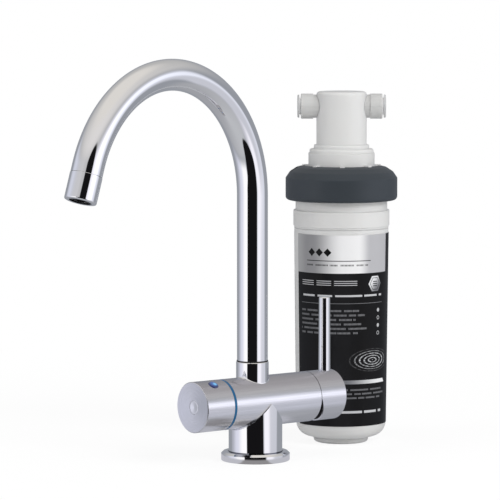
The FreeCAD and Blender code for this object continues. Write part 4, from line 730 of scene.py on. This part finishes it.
def marker_blue():
    """The knob's plug: a clear dome over blue, with painted shade towards its rim and a painted highlight."""
    material, g = new_material("marker_blue")
    x, y, z = g.place()
    lean = math.atan2(-MARKER_MIDDLE.y, MARKER_MIDDLE.z - AXIS_HEIGHT)
    along = g.sub(x, MARKER_MIDDLE.x)
    across = g.add(g.mul(g.sub(y, MARKER_MIDDLE.y), math.cos(lean)),
                   g.mul(g.sub(z, MARKER_MIDDLE.z), math.sin(lean)))
    away = g.divide(g.length(along, across), MARKER_RADIUS)
    from_highlight = g.length(g.sub(along, MARKER_HIGHLIGHT_PLACE[0]), g.sub(across, MARKER_HIGHLIGHT_PLACE[1]))
    cloud = g.mul(g.noise(g.point(), scale=900.0), 0.2)
    # Painted shade towards the rim, then a painted highlight near the middle
    shade = g.mix(g.rise(g.add(away, cloud), 0.55, 1.0), MARKER_BLUE, MARKER_RIM_SHADE)
    shade = g.mix(g.rise(from_highlight, 2.3 * MM, 0.5 * MM), shade, MARKER_PAINTED_HIGHLIGHT)
    g.surface(Base_Color=shade, Roughness=g.add(0.10, cloud), Coat_Weight=1.0, Coat_Roughness=0.03)
    return material


def rubber():
    """Black seal rubber with a grey bloom."""
    material, g = new_material("seal_rubber")
    bloom = g.noise(g.point(), scale=260.0, detail=3.0)
    g.surface(Base_Color=g.mix(g.rise(bloom, 0.4, 0.9), colour(22, 22, 23), colour(42, 42, 44)),
              Roughness=g.add(0.55, g.mul(bloom, 0.2)), Normal=g.bump(bloom, 0.02 * MM))
    return material


def carbon():
    """Pressed carbon grit."""
    material, g = new_material("pressed_carbon")
    grit = g.noise(g.point(), scale=1500.0, detail=4.0, rough=0.7)
    g.surface(Base_Color=g.mix(g.rise(grit, 0.35, 0.8), colour(16, 16, 17), colour(58, 58, 60)),
              Roughness=0.9, Normal=g.bump(grit, 0.15 * MM))
    return material


# The printed label, in millimetres to the right of its front middle and above the floor

LABEL_EDGE = colour(13, 13, 14)
# Painted sheen: the black is lighter towards the label's front middle
LABEL_BLACK_SHEEN = colour(32, 32, 34)
LABEL_INK = colour(205, 206, 209)
LABEL_DIM = colour(150, 151, 155)
# Painted sheen and shade across the silver, as on curved foil
SILVER_LEFT = colour(172, 172, 174)
SILVER_SHADE = colour(148, 148, 151)
SILVER_SHEEN = colour(236, 236, 237)
SILVER_RIGHT = colour(182, 182, 186)
BADGE_LIGHT = colour(225, 226, 229)
BADGE_DARK = colour(118, 119, 124)
RIPPLE_TINT = colour(214, 216, 219)
BAR_LEFT = colour(120, 121, 126)
BAR_RIGHT = colour(236, 237, 239)

SILVER_FOOT = 136.6
LOZENGES = (-26.0, -19.0, -12.0)
LOZENGE_LEVEL = 153.0
LOZENGE_HALF = 3.1
SILVER_RULE = 146.4
SILVER_PRINT = 144.6
THIN_BARS = (127.4, 129.0, 130.6)
UPPER_BAR = 119.0
LOWER_BAR = 27.4
BLACK_RULE = 113.0
UPPER_PRINT = 109.0
LOWER_PRINT = 46.5
MARGIN = -38.0
DOT_PLACE = 33.0
DOT_LEVELS = (107.0, 101.0, 95.0, 89.0)
DOT_RADIUS = 1.5
RING_RADIUS = 1.3
RING_HALF = 0.25
BADGE_PLACE = (29.0, 128.0)
BADGE_HALF = 5.8
BADGE_LINE = 4.5
BADGE_BARS = (-1.7, 0.0, 1.7)
RIPPLES_PLACE = (27.0, 68.0)
RIPPLE_PITCH = 4.2
RIPPLE_SLANT = 0.42
SLANTED_BAR = 51.0
STRIP_START = 43.6

# How much each row of strokes is shifted against the one above, and how many strokes make a group
ROW_SHIFT = 2.4
GROUPS = (6.3, 9.7)


def label_place(g):
    """Millimetres round the label from its front middle, to the right, and above the floor."""
    right, back, z = filter_place(g)
    turn = g.math("ARCTAN2", right, g.mul(back, -1.0))
    return g.mul(turn, LABEL_RADIUS / MM), g.mul(z, 1.0 / MM)


def ticks(g, across, pitch, row):
    """Upright strokes, which look like print from afar and spell nothing.

    Two longer waves part them into uneven groups.
    """
    shift = g.mul(row, ROW_SHIFT)
    strokes = g.math("SINE", g.add(g.mul(across, math.tau / pitch), shift))
    wide = g.math("SINE", g.add(g.mul(across, math.tau / (pitch * GROUPS[0])), shift))
    wider = g.math("SINE", g.add(g.mul(across, math.tau / (pitch * GROUPS[1])), g.mul(shift, 1.7)))
    return g.both(g.rise(strokes, -0.6, 0.1), g.rise(g.add(wide, wider), -1.35, -1.1))


def small_print(g, across, height, top, rows, pitch, tall, left, right, stroke):
    """Rows of strokes below top, even on the left and ragged on the right."""
    down = g.divide(g.sub(top, height), pitch)
    row = g.math("FLOOR", down)
    from_row = g.absolute(g.sub(g.math("FRACT", down), 0.5))
    half = tall / pitch / 2.0
    in_line = g.rise(from_row, half + 0.06, half - 0.06)
    in_rows = g.between(down, 0.0, rows, 0.02)
    ragged = g.mul(g.math("FRACT", g.mul(g.add(row, 1.0), 0.618)), (right - left) * 0.22)
    in_width = g.both(g.rise(across, left - 0.2, left + 0.2),
                      g.rise(g.add(across, ragged), right + 0.2, right - 0.2))
    return g.both(in_rows, in_line, ticks(g, across, stroke, g.add(row, top)), in_width)


def bars(g, across, height, levels, half, left, right, seed):
    """Bars on one or more levels, which two waves cut into uneven lengths."""
    lines = g.either(*[g.stripe(height, level, half, 0.25) for level in levels])
    wide = g.math("SINE", g.add(g.mul(across, 0.46), seed))
    wider = g.math("SINE", g.add(g.mul(across, 0.81), seed * 1.7))
    return g.both(lines, g.rise(g.add(wide, wider), -1.32, -1.18), g.between(across, left, right, 0.3))


def hexagon(g, across, up):
    """The distance from a hexagon's middle, on lines of equal hexagons."""
    flat = g.absolute(up)
    slanted = g.add(g.mul(g.absolute(across), math.cos(math.pi / 6.0)), g.mul(flat, 0.5))
    return g.math("MAXIMUM", slanted, flat)


def silver(g, across):
    """The silver ground, with painted sheen and painted shade as if light fell on curved foil."""
    shade = g.mix(g.rise(across, -42.0, -30.0), SILVER_LEFT, SILVER_SHADE)
    shade = g.mix(g.rise(across, -25.0, 1.0), shade, SILVER_SHEEN)
    return g.mix(g.rise(across, 13.0, 24.0), shade, SILVER_RIGHT)


def silver_marks(g, across, height):
    """Three lozenges, a rule and a line of small strokes."""
    rule = g.both(g.stripe(height, SILVER_RULE, 0.3, 0.2), g.between(across, -31.0, 24.0, 0.2))
    up = g.absolute(g.sub(height, LOZENGE_LEVEL))
    asides = [g.absolute(g.sub(across, place)) for place in LOZENGES]
    lozenges = [g.under(g.add(aside, up), LOZENGE_HALF, 0.3) for aside in asides]
    strokes = small_print(g, across, height, SILVER_PRINT, rows=1.0, pitch=3.2, tall=1.3,
                          left=-31.0, right=30.0, stroke=1.1)
    return g.either(rule, *lozenges, strokes)


def bold_marks(g, across, height):
    """Bars of uneven length."""
    return g.either(bars(g, across, height, THIN_BARS, half=0.26, left=MARGIN, right=12.0, seed=2.6),
                    bars(g, across, height, (UPPER_BAR,), half=0.75, left=MARGIN, right=37.0, seed=2.2),
                    bars(g, across, height, (LOWER_BAR,), half=0.95, left=-30.0, right=38.0, seed=1.9))


def faint_marks(g, across, height):
    """Rows of small strokes and a rule."""
    upper = small_print(g, across, height, UPPER_PRINT, rows=6.0, pitch=3.5, tall=1.5,
                        left=MARGIN, right=22.0, stroke=1.05)
    lower = small_print(g, across, height, LOWER_PRINT, rows=3.0, pitch=3.2, tall=1.3,
                        left=2.0, right=44.0, stroke=0.95)
    rule = g.both(g.stripe(height, BLACK_RULE, 0.16, 0.2), g.between(across, MARGIN, 38.0, 0.2))
    return g.either(upper, lower, rule)


def dots(g, across, height):
    """Full dots and rings in turn, one over the other."""
    marks = []
    for index, level in enumerate(DOT_LEVELS):
        away = g.length(g.sub(across, DOT_PLACE), g.sub(height, level))
        middle, half = (RING_RADIUS, RING_HALF) if index % 2 else (0.0, DOT_RADIUS)
        marks.append(g.stripe(away, middle, half, 0.3))
    return g.either(*marks)


def badge(g, across, height):
    """A silver hexagon with a dark line and three dark bars inside: where it covers, and its colour."""
    aside = g.sub(across, BADGE_PLACE[0])
    up = g.sub(height, BADGE_PLACE[1])
    away = hexagon(g, aside, up)
    fill = g.mix(g.rise(g.sub(aside, up), -6.0, 6.0), BADGE_LIGHT, BADGE_DARK)
    levels = g.either(*[g.stripe(up, level, 0.35, 0.3) for level in BADGE_BARS])
    lines = g.both(levels, g.stripe(aside, 0.0, 2.3, 0.3))
    dark = g.either(lines, g.stripe(away, BADGE_LINE, 0.22, 0.3))
    return g.under(away, BADGE_HALF, 0.3), g.mix(dark, fill, LABEL_EDGE)


def ripples(g, across, height):
    """Broken rings on still water, seen at a slant."""
    up = g.divide(g.sub(height, RIPPLES_PLACE[1]), RIPPLE_SLANT)
    away = g.length(g.sub(across, RIPPLES_PLACE[0]), up)
    broken = g.noise(g.vector(g.mul(across, 0.35), g.mul(height, 0.9), 0.0), detail=3.0, rough=0.65)
    waves = g.math("SINE", g.add(g.mul(away, math.tau / RIPPLE_PITCH), g.mul(broken, 3.0)))
    return g.both(g.rise(waves, 0.30, 0.95), g.rise(away, 24.0, 9.0), g.rise(broken, 0.30, 0.62))


def label_film():
    """A printed film: silver above and black below, with generic marks that spell nothing."""
    material, g = new_material("label_film")
    across, height = label_place(g)
    # Painted sheen: the black lightens towards the front middle
    black = g.mix(g.rise(g.absolute(across), 17.0, 2.0), LABEL_EDGE, LABEL_BLACK_SHEEN)
    on_silver = g.rise(height, SILVER_FOOT - 0.15, SILVER_FOOT + 0.15)
    shade = g.mix(on_silver, black, silver(g, across))
    shade = g.mix(silver_marks(g, across, height), shade, LABEL_EDGE)
    shade = g.mix(g.mul(bold_marks(g, across, height), 0.9), shade, LABEL_INK)
    shade = g.mix(g.mul(faint_marks(g, across, height), 0.72), shade, LABEL_DIM)
    shade = g.mix(g.mul(dots(g, across, height), 0.8), shade, LABEL_INK)
    cover, face = badge(g, across, height)
    shade = g.mix(cover, shade, face)
    shade = g.mix(ripples(g, across, height), shade, RIPPLE_TINT)

    # A shaded bar with slanted ends, and the wrap's last strip, which is dark over its full height
    slanted = g.add(across, g.mul(g.sub(height, SLANTED_BAR), 0.7))
    bar = g.both(g.stripe(height, SLANTED_BAR, 1.5, 0.25), g.between(slanted, -8.0, 42.0, 0.3))
    shade = g.mix(bar, shade, g.mix(g.rise(across, 2.0, 38.0), BAR_LEFT, BAR_RIGHT))
    shade = g.mix(g.rise(across, STRIP_START, STRIP_START + 0.4), shade, LABEL_EDGE)
    film = g.noise(g.point(), scale=420.0)
    g.surface(Base_Color=shade, Roughness=g.add(0.36, g.mul(film, 0.10)),
              Normal=g.bump(film, 0.01 * MM), Specular_IOR_Level=0.15)
    return material


# The neck and the blue dome as smooth skins

def neck_line():
    """Points of the neck's centre line in its own plane, each with the direction of flow."""
    upright = NECK_HEIGHT - NECK_FOOT
    points = [(0.0, NECK_FOOT + upright * share, 0.0) for share in (0.0, 0.25, 0.5, 0.75, 0.98)]
    for step in range(NECK_STEPS + 1):
        angle = (math.pi - NECK_LEAN) * step / NECK_STEPS
        reach = NECK_RADIUS * (1.0 - math.cos(angle))
        points.append((reach, NECK_HEIGHT + NECK_RADIUS * math.sin(angle), angle))
    reach, height, angle = points[-1]
    for share in (0.1, 1.0):
        run = NECK_STRAIGHT * share
        points.append((reach + math.sin(angle) * run, height + math.cos(angle) * run, angle))
    return points


def add_ring(mesh, middle, across, sideways, radius, sides):
    """A ring of vertices in the plane of two directions."""
    turns = [math.tau * side / sides for side in range(sides)]
    return [mesh.verts.new(middle + (across * math.cos(turn) + sideways * math.sin(turn)) * radius)
            for turn in turns]


def neck_ring(mesh, point, radius):
    """A ring square to the neck's centre line at one of its points."""
    reach, height, angle = point
    outwards = Vector((-math.cos(NECK_TURN), -math.sin(NECK_TURN), 0.0))
    sideways = Vector((math.sin(NECK_TURN), -math.cos(NECK_TURN), 0.0))
    middle = Vector((NECK_X, 0.0, 0.0)) + outwards * reach + UPRIGHT * height
    across = outwards * math.cos(angle) - UPRIGHT * math.sin(angle)
    return add_ring(mesh, middle, across, sideways, radius, NECK_SIDES)


def join_rings(mesh, first, second, smooth):
    count = len(first)
    for side in range(count):
        nearby = (side + 1) % count
        face = mesh.faces.new((first[side], first[nearby], second[nearby], second[side]))
        face.smooth = smooth


def finished_object(name, built, material):
    """An object from a built mesh: its faces turned outwards, and its edges sharp beside flat faces."""
    bmesh.ops.recalc_face_normals(built, faces=built.faces)
    for edge in built.edges:
        edge.smooth = all(face.smooth for face in edge.link_faces)
    mesh = bpy.data.meshes.new(name)
    built.to_mesh(mesh)
    built.free()
    mesh.materials.append(material)
    return add_object(name, mesh)


def add_neck(chrome):
    """The spout's tube with its bore, swept as one skin so that reflections run unbroken."""
    sweep = bmesh.new()
    line = neck_line()
    outer = [neck_ring(sweep, point, TUBE_RADIUS) for point in line]
    inner = [neck_ring(sweep, point, TUBE_BORE) for point in line]
    for skin in (outer, inner):
        for first, second in zip(skin, skin[1:]):
            join_rings(sweep, first, second, True)
    join_rings(sweep, outer[0], inner[0], False)
    join_rings(sweep, outer[-1], inner[-1], False)
    neck = finished_object("spout_neck_skin", sweep, chrome)
    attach(neck, "spout")
    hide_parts("spout_tube")


def add_marker():
    """The blue plug as a low dome on the knob's side."""
    outwards = Vector((0.0, MARKER_MIDDLE.y, MARKER_MIDDLE.z - AXIS_HEIGHT)).normalized()
    along = Vector((1.0, 0.0, 0.0))
    across = outwards.cross(along)
    seat = Vector((MARKER_MIDDLE.x, 0.0, AXIS_HEIGHT)) + outwards * BARREL_RADIUS
    sizes = []
    for step in range(1, MARKER_STEPS + 1):
        angle = math.pi / 2.0 * step / MARKER_STEPS
        sizes.append((MARKER_RADIUS * math.sin(angle), MARKER_RISE * (math.cos(angle) - MARKER_SUNK)))
    sizes.append((MARKER_RADIUS, -MARKER_DEPTH))
    dome = bmesh.new()
    rings = [add_ring(dome, seat + outwards * rise, along, across, radius, MARKER_SIDES)
             for radius, rise in sizes]
    for first, second in zip(rings, rings[1:]):
        join_rings(dome, first, second, True)
    top = dome.verts.new(seat + outwards * MARKER_RISE * (1.0 - MARKER_SUNK))
    for side in range(MARKER_SIDES):
        face = dome.faces.new((top, rings[0][side], rings[0][(side + 1) % MARKER_SIDES]))
        face.smooth = True
    dome.faces.new(rings[-1])
    plug = finished_object("marker_dome", dome, marker_blue())
    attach(plug, "knob")
    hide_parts("knob_marker")


# Which material each node gets

CLOUDY = 0.6
DARK_MOULDING = {"speck": 1.0, "shift": 0.10, "gloss": 0.3}


def slot_materials():
    """One material for each of the record's slots."""
    return {
        "chrome": polished_chrome(),
        "brass": turned_metal("turned_brass", (0.62, 0.45, 0.20, 1.0), 0.22),
        "steel": turned_metal("turned_steel", (0.52, 0.52, 0.53, 1.0), 0.26),
        "seal_rubber": rubber(),
        "blue_plastic": moulded("blue_plastic", colour(10, 92, 138), 0.22, shift=0.12),
        "white_plastic": moulded("white_plastic", colour(223, 223, 222), 0.30, cloudy=CLOUDY),
        "grey_plastic": moulded("grey_plastic", colour(57, 63, 69), 0.40, **DARK_MOULDING),
        "collet_plastic": moulded("collet_plastic", colour(188, 189, 190), 0.36, cloudy=CLOUDY,
                                  ported=True),
        "black_plastic": moulded("black_plastic", colour(24, 23, 25), 0.45, **DARK_MOULDING),
        "inner_plastic": moulded("inner_plastic", colour(228, 228, 225), 0.45),
        "ceramic": moulded("lapped_ceramic", colour(238, 237, 232), 0.10, speck=0.2),
        "carbon": carbon(),
        "label_film": label_film(),
    }


def node_materials():
    """The nodes that differ from the rest of their slot."""
    # Painted shade: the ports get a darker copy of the white plastic
    ports = moulded("white_ports_painted_shade", colour(205, 205, 204), 0.32, cloudy=CLOUDY, ported=True, seamed=True)
    return {
        "tap_body": body_chrome(),
        "base_ring": ring_chrome(),
        "filter_knob": turned_chrome("knob_chrome", KNOB_LOW.x, 1.0, KNOB_HIGH.x),
        "mixer_handle": turned_chrome("handle_chrome", HANDLE_HIGH.x, -1.0, HANDLE_LOW.x),
        "inlet_port": ports,
        "outlet_port": ports,
    }


def dress_nodes(by_slot, by_node):
    for part in frame["record"]["subparts"]:
        node = part["node"]
        material = by_node.get(node, by_slot[part["material_slot"]])
        for slot in NODES[node].material_slots:
            slot.material = material


def hide_filter_from_chrome():
    """The photo's tap and filter were lit apart, so the tap's chrome doesn't show the filter."""
    for name, node in NODES.items():
        if (middle_of(*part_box(name)) - FILTER_FOOT).xy.length < FILTER_REACH:
            node.visible_glossy = False


add_camera()
add_air()
add_lamps()
add_floor()
add_surround()
materials = slot_materials()
dress_nodes(materials, node_materials())
hide_filter_from_chrome()
add_neck(materials["chrome"])
add_marker()
bpy.context.scene.view_settings.view_transform = "Standard"
